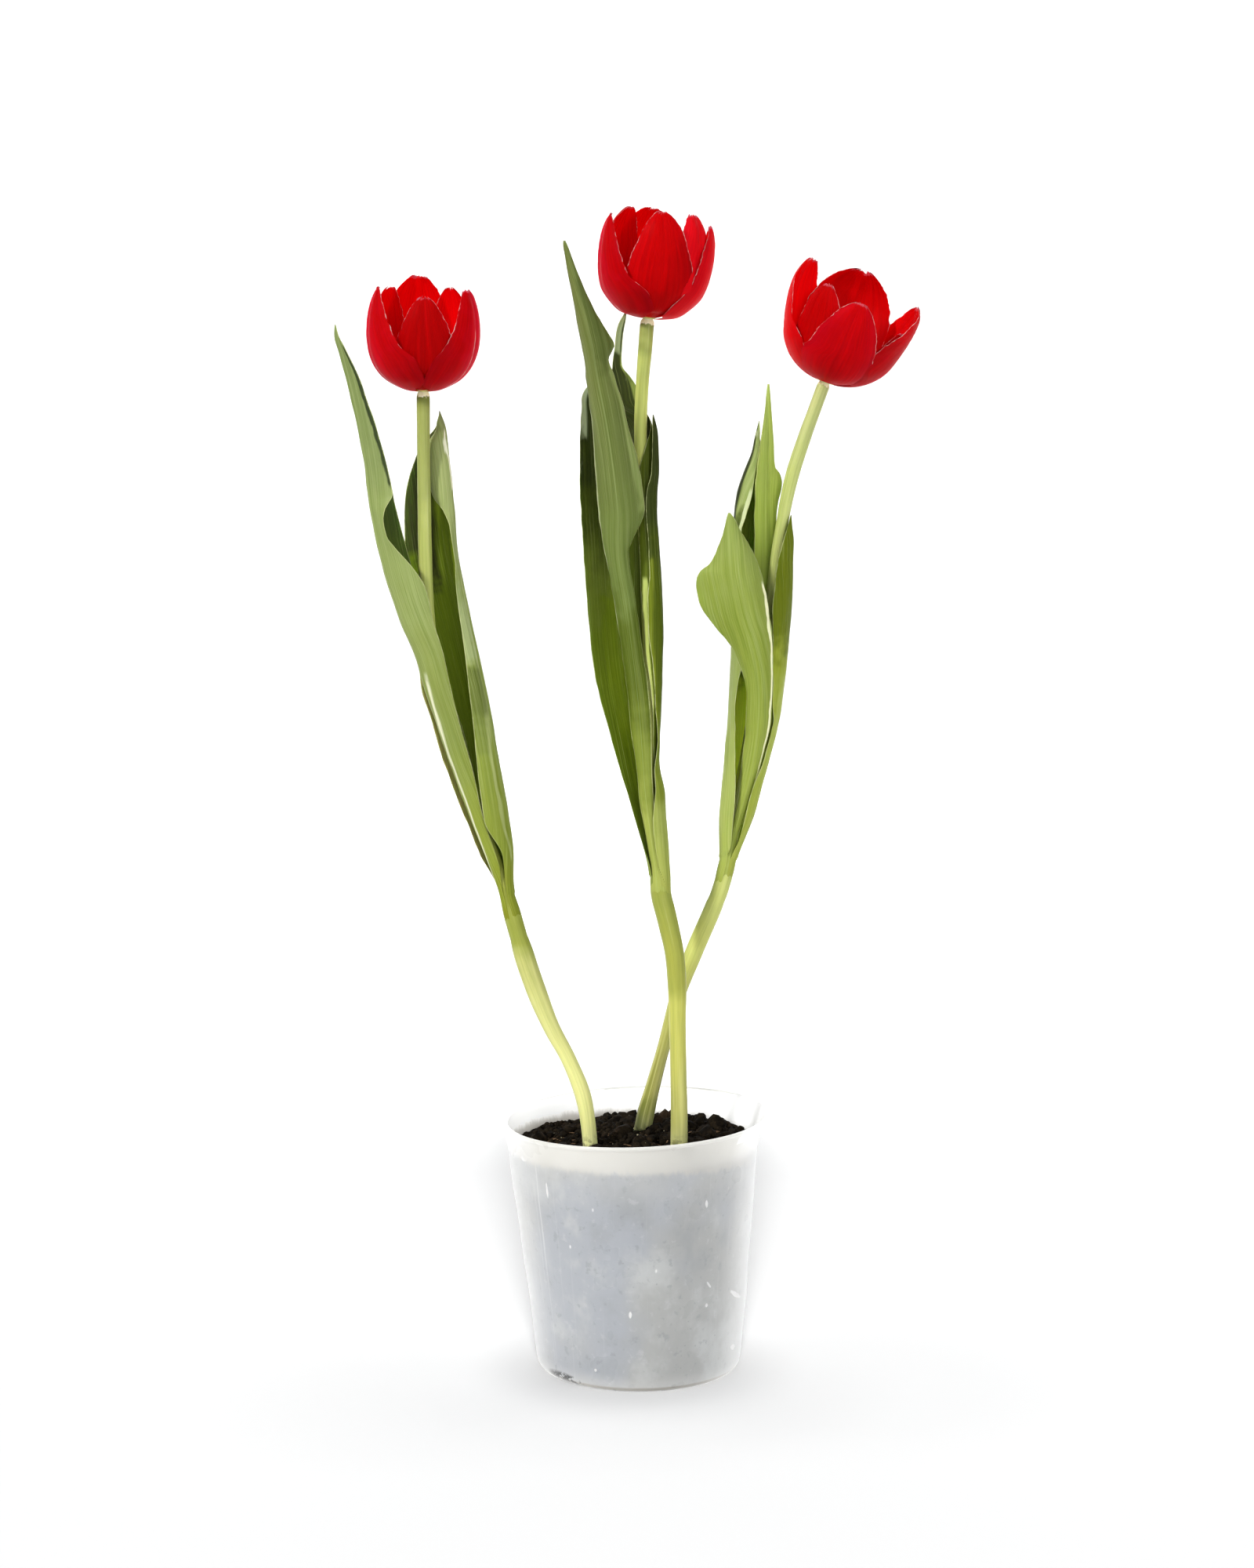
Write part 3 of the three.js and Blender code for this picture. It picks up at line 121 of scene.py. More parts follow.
LEAVES = {
    'leaf_a1': [
        (-57.8, -15.6, 207.4, -95, 0, 6, 100, 4.3, 72),
        (-61.6, -15.3, 221.6, -95, 0, 5.6, 100, 4.1, 74),
        (-65.5, -15.3, 233, -92, 0, 6.4, 90.7, 6.9, 102.5),
        (-73.3, -15, 253.5, -90, 0, 7.3, 91.2, 8.7, 98.6),
        (-82.6, -14.5, 278.8, -88, 0, 12.7, 116.3, 13, 111.5),
        (-88.1, -14.2, 294.9, -86, 8, 13.6, 104, 13.7, 92.9),
        (-94.5, -14, 313.9, -84, 12, 13.5, 96.5, 15.4, 85.7),
        (-98.6, -14, 328.2, -84, 15, 13.5, 86.3, 16.4, 82.3),
        (-103.9, -14, 340.4, -84, 20, 15.3, 82.4, 17.7, 77.4),
        (-108.4, -14, 352.6, -84, 25, 16, 73.4, 19.4, 72.6),
        (-112.1, -14.2, 364.7, -84, 30, 15.9, 59.4, 16.3, 52.8),
        (-114.4, -14.4, 374.8, -84, 32, 15.4, 54.9, 11.4, 20.3),
        (-115.7, -14.6, 381.4, -84, 35, 14.8, 48.6, 9.3, -8.3),
        (-116.7, -14.7, 386.9, -84, 38, 14.3, 42.9, 9, -16.8),
        (-117.8, -14.8, 392.4, -84, 42, 13.7, 37.2, 9.9, -3.1),
        (-118.8, -15, 398.7, -84, 48, 13.1, 30.6, 12.9, 22.1),
        (-120.2, -15.6, 411.4, -84, 55, 11.2, 27.4, 11.5, 15.2),
        (-123.5, -16.8, 432, -82, 60, 8.3, 28.8, 8.8, 1.4),
        (-127.3, -18, 449.4, -80, 64, 6.1, 29.5, 6.6, -10.4),
        (-130.3, -19, 461.7, -78, 64, 3.6, 36.3, 3.9, -8),
        (-132.1, -19.6, 468.5, -76, 64, 2.1, 46.6, 2.4, -14.5),
        (-131.8, -20, 473.9, -75, 55, 0.5, 0, 0.5, 0),
    ],
    'leaf_a2': [
        (-50.4, -16.3, 209.6, 85, 0, 6.3, 82, 11.5, 150),
        (-53.9, -16, 221.6, 85, 0, 5.9, 80, 11.1, 150),
        (-55.1, -15.4, 239.4, 88, 0, 7.5, 78.2, 22.2, 173),
        (-57.4, -15, 258.1, 90, 0, 15, 118.4, 28.2, 159.7),
        (-60.3, -14.6, 276, 92, 0, 14.6, 116.5, 32.8, 154.6),
        (-63.5, -14, 294.9, 94, 0, 13, 109.5, 36.3, 150.4),
        (-66.9, -13.3, 313.8, 95, 5, 11.4, 91.8, 37.5, 133.4),
        (-71.5, -12.5, 335.7, 96, 10, 8.9, 69.8, 33.8, 102.1),
        (-76.1, -11.5, 357.9, 97, 15, 7.2, 47.2, 31.1, 85.4),
        (-79.2, -10.5, 374.5, 98, 20, 5.3, 12.5, 28.9, 70.9),
        (-80.1, -9.5, 385.6, 99, 25, 4.8, 31.9, 27.5, 59.3),
        (-80.3, -8.8, 392.1, 100, 30, 6.2, 89.4, 26.7, 47.9),
        (-80.7, -8, 399.3, 100, 35, 12.5, 137, 25.4, 37.7),
        (-81.5, -6.5, 410, 100, 45, 14.1, 125, 21.6, 16.3),
        (-83.1, -4.6, 421.6, 100, 50, 11.7, 114, 15.3, 0.5),
        (-84.4, -3.2, 428.8, 100, 35, 6.5, 149.2, 7.6, 14.9),
        (-87.4, -1.2, 436, 100, 20, 0.5, 0, 0.5, 0),
    ],
    'leaf_b1': [
        (10.2, -17.5, 218.5, -20, 0, 3.9, 68, 4.3, 74),
        (8.4, -16.8, 231.9, -18, 0, 3.8, 68, 4, 72),
        (6.4, -16.1, 247.5, -15, 0, 3.3, 53.2, 3.1, 61.8),
        (4.3, -15.7, 262.3, -14, 0, 4, 52.4, 3.4, 38.3),
        (3.2, -15.4, 275, -12, 0, 4.2, 64.2, 3.7, 30.2),
        (1.8, -15, 295.7, -10, 5, 5.8, 43.8, 4.6, 20.1),
        (0, -14.4, 314.2, -10, 8, 6.2, 47, 5.2, 36),
        (-2.5, -14.6, 334.2, -10, 8, 7.1, 53.1, 5.5, 63.7),
        (-5.1, -15.2, 354.1, -10, 8, 8.2, 57.1, 6, 80.1),
        (-7.3, -16.4, 367.3, -10, 8, 8.9, 61.9, 5.9, 82.6),
        (-8, -17, 373.6, -10, 8, 9.4, 58.6, 5.9, 82.7),
        (-8.2, -17.6, 379.5, -10, 8, 10.1, 52.7, 8.4, 66.6),
        (-8.2, -18.8, 391.6, -10, 10, 11.7, 39.1, 13.6, 57.8),
        (-8.9, -19.6, 398.9, -10, 10, 11.9, 41.4, 14.1, 58.7),
        (-10.7, -21.4, 413.7, -10, 10, 11.6, 51.5, 13.6, 63.4),
        (-12.6, -23.4, 426.8, -10, 10, 11.4, 60.9, 12, 69.4),
        (-14.3, -25, 436.7, -10, 10, 11.2, 65.3, 11.3, 74.8),
        (-16.7, -27, 448.6, -8, 10, 10.4, 76.2, 10.3, 73.5),
        (-18.2, -28.6, 457.4, -8, 10, 9.7, 79.9, 8.3, 79.1),
        (-18.7, -29.2, 460.1, -8, 10, 9.7, 80.7, 9.9, 72.1),
        (-19.3, -30, 463.8, -8, 10, 9.5, 79.3, 11.5, 62.5),
        (-20.8, -31.4, 470.6, -8, 10, 9, 78.8, 9.4, 62.3),
        (-22.8, -32.8, 478.6, -8, 10, 7.9, 81.2, 6.6, 72.7),
        (-26.2, -35, 490.7, -8, 10, 5.8, 84.9, 4, 88.3),
        (-29.5, -36.8, 502, -8, 10, 3, 83.8, 2.2, 82.3),
        (-31.3, -38.6, 509.6, -8, 10, 0.5, 0, 0.5, 0),
    ],
    'leaf_b2': [
        (6.3, -13.1, 219.9, -105, 0, 4.9, 65, 4.7, 62),
        (4.7, -12.3, 232.6, -108, 0, 4.8, 65, 4.5, 60),
        (2.4, -10.8, 247.8, -125, 0, 3.9, 24.8, 3.3, 25.1),
        (-0.5, -9, 260.7, -135, 0, 6.5, 18.6, 4.1, 27.8),
        (-4, -7, 276, -140, 0, 8.1, 20.8, 5.1, 23.5),
        (-7.5, -4.5, 293, -142, 0, 9.9, 34.1, 6.8, 19.6),
        (-11.4, -2, 312.9, -144, 0, 11.6, 36.4, 8.5, 18.8),
        (-13.5, 0, 329.3, -145, 0, 11.9, 36.3, 9.7, 23.4),
        (-14.9, 1.5, 346, -145, 0, 11.9, 37.2, 10.3, 24.6),
        (-15.9, 2.6, 362.8, -145, 0, 11.5, 37.2, 10.7, 28.4),
        (-17, 3.4, 383, -145, 0, 10.8, 37, 11.2, 28.5),
        (-18, 3.6, 396.3, -145, 0, 10.4, 38, 11.3, 31.3),
        (-19, 3.4, 416.5, -145, 0, 9.2, 36.8, 11, 40),
        (-19.7, 2.6, 430.4, -145, 0, 7.1, 30, 10.3, 48.6),
        (-20.4, 1.4, 439.1, -145, 0, 5.4, 21.2, 9.2, 60.1),
        (-21, -1.5, 447.1, -145, 0, 0.5, 0, 0.5, 0),
    ],
    'leaf_b3': [
        (13.4, -10.5, 218.5, 150, 0, 4.5, 78, 4, 70),
        (11.4, -10, 231.9, 150, 0, 4.4, 78, 3.9, 70),
        (8.8, -9.2, 247.7, 150, 0, 3.7, 55.3, 3.5, 81.5),
        (6.8, -7.6, 270.1, 150, 0, 4.8, 74.5, 5.2, 76.8),
        (8.3, -7.9, 290.3, 118, 0, 4.9, 79.3, 9.4, 104.3),
        (9.3, -7.3, 312.4, 112, 0, 7, 103.2, 12.4, 109.8),
        (9.4, -6.1, 333.3, 110, 0, 9.9, 145.9, 14.8, 108.9),
        (8.7, -4.9, 353.2, 110, 0, 10.9, 154.2, 15.6, 102.4),
        (8.2, -3.9, 369.9, 110, 0, 11.5, 159.5, 16.8, 98.7),
        (7.5, -2.7, 383.4, 110, 0, 10.9, 156.6, 17.6, 97.7),
        (7, -1.3, 395.8, 112, 0, 10.8, 156.7, 18, 95.1),
        (6.5, 0.3, 409.7, 114, 0, 10.3, 144.2, 18.4, 95),
        (6.3, 1.3, 418.3, 118, 0, 7.7, 109.7, 18.4, 90.3),
        (6.6, 3.6, 426.2, 125, 0, 6.1, 89, 18.4, 83.9),
        (4, 6.2, 432.7, 145, 0, 3.7, 58.3, 15.4, 56),
        (-4.6, 9.1, 438.9, 164, 0, 7.7, 9.4, 7.4, 46.3),
        (-6.2, 9.4, 446.5, 165, 0, 6.4, 4.6, 6.1, 51.6),
        (-7.1, 9.6, 450.3, 165, 0, 4.9, 3.1, 5, 54),
        (-8.5, 9.3, 455.9, 165, 0, 2, 4.7, 2.7, 66.3),
        (-8.4, 9.1, 464.2, 165, 20, 2, -46.4, 1.6, 33.7),
        (-7.1, 8.8, 473.5, 165, 20, 1.8, -56.4, 1.4, 14.3),
        (-5, 8.3, 479, 165, 20, 0.5, 0, 0.5, 0),
    ],
    'leaf_b4': [
        (17.2, -15.7, 219.9, 72, 0, 7.4, 98, 7.6, 100),
        (15.9, -15.3, 232.6, 72, 0, 7.3, 98, 7.4, 100),
        (13.1, -12.9, 253.1, 78, 0, 8.2, 79.1, 8, 115.3),
        (11.9, -12.2, 269.2, 80, 0, 6.1, 57.2, 8.6, 103.6),
        (10.2, -11.1, 277.7, 82, 0, 4.9, 41.5, 9.1, 101.8),
        (10.1, -10.3, 289.9, 84, 0, 3.7, 15.2, 9.5, 96.5),
        (10.8, -9.3, 305.6, 84, 0, 5.2, 45.4, 10.9, 93.3),
        (11.4, -8.3, 323.4, 84, 5, 6.8, 58.4, 12.7, 78.8),
        (11.7, -7.1, 340.1, 84, 10, 9.2, 67.9, 13.6, 69.2),
        (11.5, -6.5, 353, 84, 10, 9.4, 69, 14, 63.4),
        (10.7, -5.9, 364.8, 84, 10, 7.9, 55.4, 13.7, 55.4),
        (9.7, -4.9, 378.7, 84, 10, 7.5, 48, 13.4, 46.7),
        (9.1, -4.1, 390.8, 84, 15, 7.8, 42.7, 13.2, 28.8),
        (9, -3.7, 399.1, 84, 20, 7.2, 33.7, 12.7, 14.6),
        (9.9, -3.6, 409.8, 84, 30, 5.8, 2.6, 11.1, -8.2),
        (9.7, -3.2, 420.5, 84, 40, 4.8, -17.9, 7.8, -34.3),
        (9.1, -3.2, 428.1, 84, 45, 3.4, -20.6, 4.3, -38.6),
        (7.3, -3.8, 434.4, 84, 40, 0.5, 0, 0.5, 0),
    ],
    'leaf_c1': [
        (39.9, 4.4, 224.8, 8, 0, 4, 70, 4, 70),
        (41.9, 4.2, 233.8, 8, 0, 3.9, 70, 3.9, 70),
        (44.6, 4.5, 246.9, 0, 0, 2.4, 64.2, 3, 68.3),
        (48.3, 3.9, 260.6, -5, 0, 3.1, 36.5, 4.1, 73),
        (51.8, 1.7, 276.2, -10, 0, 5.2, 36.1, 6.1, 98),
        (54.1, -2.5, 293.1, -12, 0, 7, 57.8, 9.4, 113.1),
        (54.3, -6.9, 309.9, -14, 0, 8.3, 62.6, 11.9, 130.7),
        (53.1, -10.1, 321.8, -15, 0, 9.3, 46.2, 13.3, 125.1),
        (50.8, -12.7, 331.9, -16, 0, 11.2, 28.7, 14.6, 112.8),
        (49.4, -13.9, 336.9, -16.5, 0, 13.2, 19.2, 15.4, 107.1),
        (47.9, -14.9, 341.1, -17, 0, 14.9, 11.8, 15.9, 102.6),
        (45.8, -16.5, 348.2, -17, 0, 17.9, 8, 16.4, 94.8),
        (44.9, -17.3, 352.5, -16.5, 0, 18.7, 8.3, 16.3, 92.3),
        (43.9, -18, 357, -16, 0, 18.8, 11, 15.7, 88.6),
        (42.9, -18.7, 361.9, -15, 0, 17.8, 13.7, 15.3, 82.7),
        (42.3, -19.1, 365.1, -15, 0, 15.9, 17.5, 14.8, 82.5),
        (41.9, -19.5, 368.9, -15, 0, 11.4, 31.8, 13.7, 82.9),
        (41.2, -20.1, 379, -14, 5, 6.4, 47.6, 9.3, 76.1),
        (40.8, -20.1, 385.8, -12, 10, 3.2, 44.9, 5.1, 69.4),
        (40.5, -19.7, 392, -10, 10, 0.5, 0, 0.5, 0),
    ],
    'leaf_c2': [
        (39.8, 10.9, 225.6, 178, 0, 4.1, 72, 4.1, 72),
        (41.7, 11, 233.8, 178, 0, 4, 72, 4, 72),
        (44.1, 11.9, 245.8, 175, 0, 3, 53.1, 3.1, 71.1),
        (48.3, 13.2, 267.2, 172, 0, 3.3, 43.7, 4.4, 73.8),
        (53.2, 14.4, 292.2, 170, 0, 3.8, 23.6, 5.5, 81.7),
        (57, 15.6, 317, 170, 0, 4.7, 4.7, 7, 83.9),
        (58.3, 16.2, 341.9, 168, 0, 5.3, -15.4, 8.9, 110.7),
        (58.2, 15.8, 367.1, 168, 0, 5.8, -36.1, 10.7, 129.1),
        (58.1, 15, 378.8, 168, 0, 5.4, -55.3, 10.2, 128.8),
        (58, 14.4, 388, 168, 0, 5.7, -67.4, 9.9, 125.2),
        (57.9, 13.8, 395, 168, 0, 6.7, -64.9, 9.4, 120.8),
        (58, 13.2, 403.1, 168, 0, 8.1, -56.8, 8.6, 116.9),
        (58.2, 12.8, 407.4, 168, 0, 6.5, -53.7, 8, 114.6),
        (58.1, 12.4, 410.2, 168, 0, 4.2, -40.8, 7.4, 114.2),
        (58.4, 11.2, 422.5, 168, 0, 2.9, -32.1, 5.3, 115.7),
        (58.6, 9.6, 436.8, 168, 0, 1.5, -40.2, 2.2, 103.3),
        (58.6, 8, 447.6, 168, 0, 0.5, 0, 0.5, 0),
    ],
    'leaf_c3': [
        (34.1, 6.7, 222.7, -78, 0, 6.2, 82, 5.6, 74),
        (36.9, 7, 233.8, -78, 0, 6.1, 82, 5.5, 74),
        (36.9, 8.2, 241.7, -80, 0, 9.1, 117.2, 8.4, 79.3),
        (38.6, 8.2, 264.3, -82, 0, 10.3, 104.5, 9.2, 68.6),
        (39.9, 8.2, 280.8, -82, 0, 12.4, 108.2, 9.1, 42.3),
        (40.9, 8.2, 291.8, -82, 0, 13.6, 109, 9.2, 23.9),
        (41.9, 8.2, 310, -82, 0, 14.2, 108.6, 10.3, 12.1),
        (42.2, 8.2, 318.2, -82, 0, 15.5, 113.8, 11.4, 24.2),
        (42.6, 8.4, 326.3, -82, 0, 16.3, 117.7, 12.9, 36.3),
        (42.8, 9.2, 353.1, -82, 0, 17.5, 125.4, 15.2, 57.9),
        (43.1, 10, 374.2, -82, 0, 17.3, 128, 12.2, 48.6),
        (43.4, 10.4, 382.6, -82, 0, 16.7, 129, 9.5, 26.2),
        (43.8, 11, 389.9, -82, 0, 16.1, 131.6, 9.1, 50.3),
        (44.8, 11.6, 398.3, -82, 5, 14.4, 122.8, 9, 76.5),
        (48.3, 12.6, 409.1, -80, 10, 10.3, 110.6, 6.3, 74.5),
        (51.1, 13.2, 416.1, -80, 15, 7.1, 91.5, 4, 72.3),
        (53, 14.2, 424.4, -78, 20, 3.6, 73.4, 2.6, 67.9),
        (54.8, 15, 431.1, -75, 10, 0.5, 0, 0.5, 0),
    ],
    'leaf_c4': [
        (43.9, 7.3, 223.4, 88, 0, 5.9, 78, 6.5, 86),
        (46.3, 7.5, 233.8, 88, 0, 5.8, 78, 6.4, 86),
        (49.3, 8, 241.7, 86, 0, 6.1, 49.3, 7.1, 82),
        (52.6, 8.2, 251.7, 84, 0, 7.8, 51.4, 8.2, 84.7),
        (56.4, 8.2, 266.4, 82, 0, 8.7, 42.9, 9.5, 87.8),
        (59.6, 8.2, 278.2, 80, 0, 8.1, 20.3, 10.8, 92.6),
        (63.5, 8.2, 293.6, 80, 0, 9, 19.5, 11.8, 91.6),
        (65.8, 8.4, 308.2, 80, 0, 11.1, 32.6, 11.8, 82.9),
        (67.8, 8.6, 328, 80, 0, 13.4, 45, 11.7, 72.8),
        (69.4, 9, 345.3, 80, 5, 14.9, 46.3, 11.7, 65.9),
        (70.1, 9.4, 360.1, 80, 10, 13.4, 38.7, 10.8, 51.2),
        (70.2, 9.8, 368.9, 80, 15, 11.4, 29.9, 9.8, 38.4),
        (70.4, 11.1, 379.1, 80, 20, 7.8, 14.1, 7.8, 16.9),
        (69.7, 11.5, 385.4, 80, 30, 3.6, -15.3, 4.8, -11),
        (69.3, 11.7, 389.2, 80, 30, 0.5, 0, 0.5, 0),
    ],
}

FLOWERS = {
  "a": {
    "at": [-93.98, -11.0, 444.83],
    "tilt": 0.3,
    "wall": [
      [3.0, 0.0], [7.2, 0.7], [12, 2.6], [16.8, 5.5], [21.0, 10.2], [23.4, 15.5],
      [24.7, 22], [24.9, 28], [24.2, 35], [22.8, 40.5], [20.4, 46], [17.5, 51], [15, 55],
    ],
    "petals": [
      [-71, 46, 22.5, 0, 0, 1.2, 0.8, 0, 0],
      [72, 45, 19.5, 0, 0, 1.2, 0.7, 0, 0],
      [190, 51.3, 20, 0, 0, 1.2, 0.8, 0.35, 0],
      [5, 41.6, 16, 2.6, 0, 1.0, 0.5, 0, 0],
      [138.5, 46, 16, 2.75, 0, 1.0, 0.5, 0.7, 0],
      [-120, 46, 17, 2.6, 0, 1.0, 0.5, 0.3, 0],
    ],
  },
  "b": {
    "at": [4.85, 3.0, 476.57],
    "tilt": 7,
    "wall": [
      [3.0, 0.0], [7.2, 0.5], [13.2, 2.1], [18.5, 6.4], [22.2, 10.9], [24.3, 16.5],
      [25.4, 23], [25.7, 31], [25.2, 37], [23.9, 42], [21.0, 47], [17.5, 51], [15, 55],
    ],
    "petals": [
      [-72.5, 44, 20.5, 0, 0, 1.2, 1.0, 0.1, 0],
      [96, 44, 20, 0, 0, 1.2, 0.7, 0.9, 0],
      [191, 49.5, 20, 0, 0, 1.2, 0.9, 0.4, 0],
      [10, 47.2, 17, 2.0, 0.8, 1.0, 0.2, 0.15, -8],
      [55, 47.6, 16, 3.4, 0.5, 1.0, 0.3, 0.5, 4],
      [-120, 48.3, 17, 3.0, 0, 1.0, -0.5, 1.1, 0],
    ],
  },
  "c": {
    "at": [84.01, 14.3, 448.43],
    "tilt": 20,
    "wall": [
      [3.0, 0.0], [7.4, 0.6], [12.6, 2.2], [19.4, 6.6], [24.0, 12.4], [26.6, 19.5],
      [28.4, 27], [29.4, 34], [29.4, 40], [28.2, 45.5], [26.0, 50], [23.0, 54], [20, 58],
    ],
    "petals": [
      [3, 38, 17, 0, 0, 1.2, 0.5, 0.45, 0],
      [-114, 50.3, 23, 0, 0, 1.2, 0.5, 0.5, 0],
      [109, 46, 22, 0, 2, 1.2, 0.5, 0.5, 0],
      [-34, 41.3, 15, 2.8, 0, 1.0, 0.4, 0.3, 0],
      [178, 53.3, 24, 2.8, 0, 1.0, 0.4, 0.9, 0],
      [71, 32, 15, 2.8, 0, 1.0, 0.4, 0.2, 0],
    ],
  },
}
PETAL_OUTLINE = [
  [0, 0.15], [0.06, 0.3], [0.14, 0.56], [0.24, 0.82], [0.34, 0.96], [0.44, 1.0],
  [0.52, 0.96], [0.61, 0.85], [0.7, 0.72], [0.8, 0.57], [0.88, 0.42], [0.94, 0.27],
  [0.98, 0.13], [1, 0.045],
]


# ------------------------------------------------------------------ numerics
def fade(x, a, b):
    t = np.clip((np.asarray(x, float) - a) / (b - a), 0, 1)
    return t * t * (3 - 2 * t)


def _mono(t, y):
    n = len(t)
    h = np.diff(t)
    d = np.diff(y) / h
    m = np.zeros(n)
    if n == 2:
        return np.array([d[0], d[0]])
    for i in range(1, n - 1):
        if d[i - 1] * d[i] > 0:
            w1, w2 = 2 * h[i] + h[i - 1], h[i] + 2 * h[i - 1]
            m[i] = (w1 + w2) / (w1 / d[i - 1] + w2 / d[i])

    def end(h0, h1, d0, d1):
        s = ((2 * h0 + h1) * d0 - h0 * d1) / (h0 + h1)
        if s * d0 <= 0:
            return 0.0
        if d0 * d1 <= 0 and abs(s) > 3 * abs(d0):
            return 3 * d0
        return s

    m[0] = end(h[0], h[1], d[0], d[1])
    m[-1] = end(h[-1], h[-2], d[-1], d[-2])
    return m


def _smooth(t, y):
    m = np.zeros(len(t))
    m[0] = (y[1] - y[0]) / (t[1] - t[0])
    m[-1] = (y[-1] - y[-2]) / (t[-1] - t[-2])
    for i in range(1, len(t) - 1):
        h0, h1 = t[i] - t[i - 1], t[i + 1] - t[i]
        m[i] = ((y[i] - y[i - 1]) / h0 * h1 + (y[i + 1] - y[i]) / h1 * h0) / (h0 + h1)
    return m


class Table:
    """Rows of numbers over t, read anywhere between; the first columns follow a smooth curve, the rest never overshoot."""

    def __init__(self, t, rows, smooth):
        self.t = np.asarray(t, float)
        self.y = np.asarray(rows, float)
        self.m = np.stack(
            [(_smooth if k < smooth else _mono)(self.t, self.y[:, k]) for k in range(self.y.shape[1])], 1
        )

    def __call__(self, x):
        x = np.clip(np.asarray(x, float), self.t[0], self.t[-1])
        i = np.clip(np.searchsorted(self.t, x, side="right") - 1, 0, len(self.t) - 2)
        h = (self.t[i + 1] - self.t[i])[..., None]
        s = (x - self.t[i])[..., None] / h
        return (
            (1 + 2 * s) * (1 - s) ** 2 * self.y[i]
            + s * (1 - s) ** 2 * h * self.m[i]
            + s * s * (3 - 2 * s) * self.y[i + 1]
            + s * s * (s - 1) * h * self.m[i + 1]
        )


def spine(rows):
    rows = np.asarray(rows, float)
    t = np.concatenate([[0], np.cumsum(np.linalg.norm(np.diff(rows[:, :3], axis=0), axis=1))])
    return Table(t / t[-1], rows, 3), t[-1]


def _hash(i, j, k, seed):
    h = (i * 374761393 + j * 668265263 + k * 1103515245 + seed * 974634777) & 0xFFFFFFFF
    h = ((h ^ (h >> 13)) * 1274126177) & 0xFFFFFFFF
    return (h ^ (h >> 16)) / 4294967295.0


def vnoise(p, seed=0):
    """Smooth seeded noise from -1 to 1 over points (..., 3)."""
    p = np.asarray(p, float)
    i = np.floor(p).astype(np.int64)
    f = p - i
    f = f * f * (3 - 2 * f)
    out = 0.0
    for a in (0, 1):
        for b in (0, 1):
            for c in (0, 1):
                w = (
                    (f[..., 0] if a else 1 - f[..., 0])
                    * (f[..., 1] if b else 1 - f[..., 1])
                    * (f[..., 2] if c else 1 - f[..., 2])
                )
                out = out + w * _hash(i[..., 0] + a, i[..., 1] + b, i[..., 2] + c, seed)
    return out * 2 - 1


def fbm(p, seed=0, octaves=3, gain=0.5):
    out, amp = 0.0, 1.0
    p = np.asarray(p, float)
    for o in range(octaves):
        out = out + amp * vnoise(p * 2.03**o + 17.3 * o, seed + o)
        amp *= gain
    return out


def vec(*c):
    c = np.broadcast_arrays(*[np.asarray(v, float) for v in c])
    return np.stack(c, -1)


# -------------------------------------------------------------------- meshes
def make_object(name, verts_mm, faces, material, attributes=None):
    me = bpy.data.meshes.new(name)
    me.from_pydata((np.asarray(verts_mm, float) * 0.001).tolist(), [], np.asarray(faces).tolist() if isinstance(faces, np.ndarray) else faces)
    for key, values in (attributes or {}).items():
        a = me.attributes.new(key, "FLOAT", "POINT")
        a.data.foreach_set("value", np.asarray(values, np.float32).ravel())
    me.polygons.foreach_set("use_smooth", np.ones(len(me.polygons), bool))
    me.update()
    ob = bpy.data.objects.new(name, me)
    bpy.context.scene.collection.objects.link(ob)
    if material is not None:
        me.materials.append(material)
    return ob


def grid_faces(n, m, wrap=False, base=0, flip=False):
    """Quads of an n by m grid of points, row after row."""
    cols = m if wrap else m - 1
    i, j = np.meshgrid(np.arange(n - 1), np.arange(cols), indexing="ij")
    i, j = i.ravel(), j.ravel()
    k = (j + 1) % m
    q = np.stack([i * m + j, i * m + k, (i + 1) * m + k, (i + 1) * m + j], 1) + base
    return q[:, ::-1] if flip else q


def normals_of(G):
    du = np.gradient(G, axis=1)
    dt = np.gradient(G, axis=0)
    n = np.cross(du, dt)
    l = np.linalg.norm(n, axis=2, keepdims=True)
    return n / np.maximum(l, 1e-9)


def blade_object(name, G, thickness, material, attributes):
    """A closed thin body round the middle surface G (rows along, columns across)."""
    n, m = G.shape[:2]
    N = normals_of(G)
    T = thickness[..., None]
    outer, inner = G + N * T / 2, G - N * T / 2
    V = np.concatenate([outer.reshape(-1, 3), inner.reshape(-1, 3)])
    k = n * m
    F = [grid_faces(n, m), grid_faces(n, m, base=k, flip=True)]
    idx = np.arange(k).reshape(n, m)
    rims = [(idx[:, 0], False), (idx[:, -1], True), (idx[0], True), (idx[-1], False)]
    for line, flip in rims:
        a, b = line[:-1], line[1:]
        q = np.stack([a, b, b + k, a + k], 1)
        F.append(q if not flip else q[:, ::-1])
    F = np.concatenate(F)
    att = {key: np.concatenate([v.ravel(), v.ravel()]) for key, v in attributes.items()}
    att["inner"] = np.concatenate([np.zeros(k), np.ones(k)])
    return make_object(name, V, F, material, att)


def turned(profile, sides, sharp=None):
    """Vertices and faces of a profile (radius, height) turned round Z, from the axis and back to it."""
    P = np.asarray(profile, float)
    a = np.arange(sides) * 2 * math.pi / sides
    first, last = P[0][0] < 1e-6, P[-1][0] < 1e-6
    body = P[1 if first else 0 : len(P) - 1 if last else len(P)]
    V = np.stack(
        [body[:, 0][:, None] * np.cos(a), body[:, 0][:, None] * np.sin(a), np.broadcast_to(body[:, 1][:, None], (len(body), sides))],
        -1,
    ).reshape(-1, 3)
    F = grid_faces(len(body), sides, wrap=True).tolist()
    V = V.tolist()
    if first:
        V.append([0, 0, P[0][1]])
        c = len(V) - 1
        F += [[c, (j + 1) % sides, j] for j in range(sides)]
    if last:
        V.append([0, 0, P[-1][1]])
        c = len(V) - 1
        o = (len(body) - 1) * sides
        F += [[c, o + j, o + (j + 1) % sides] for j in range(sides)]
    return np.array(V), F


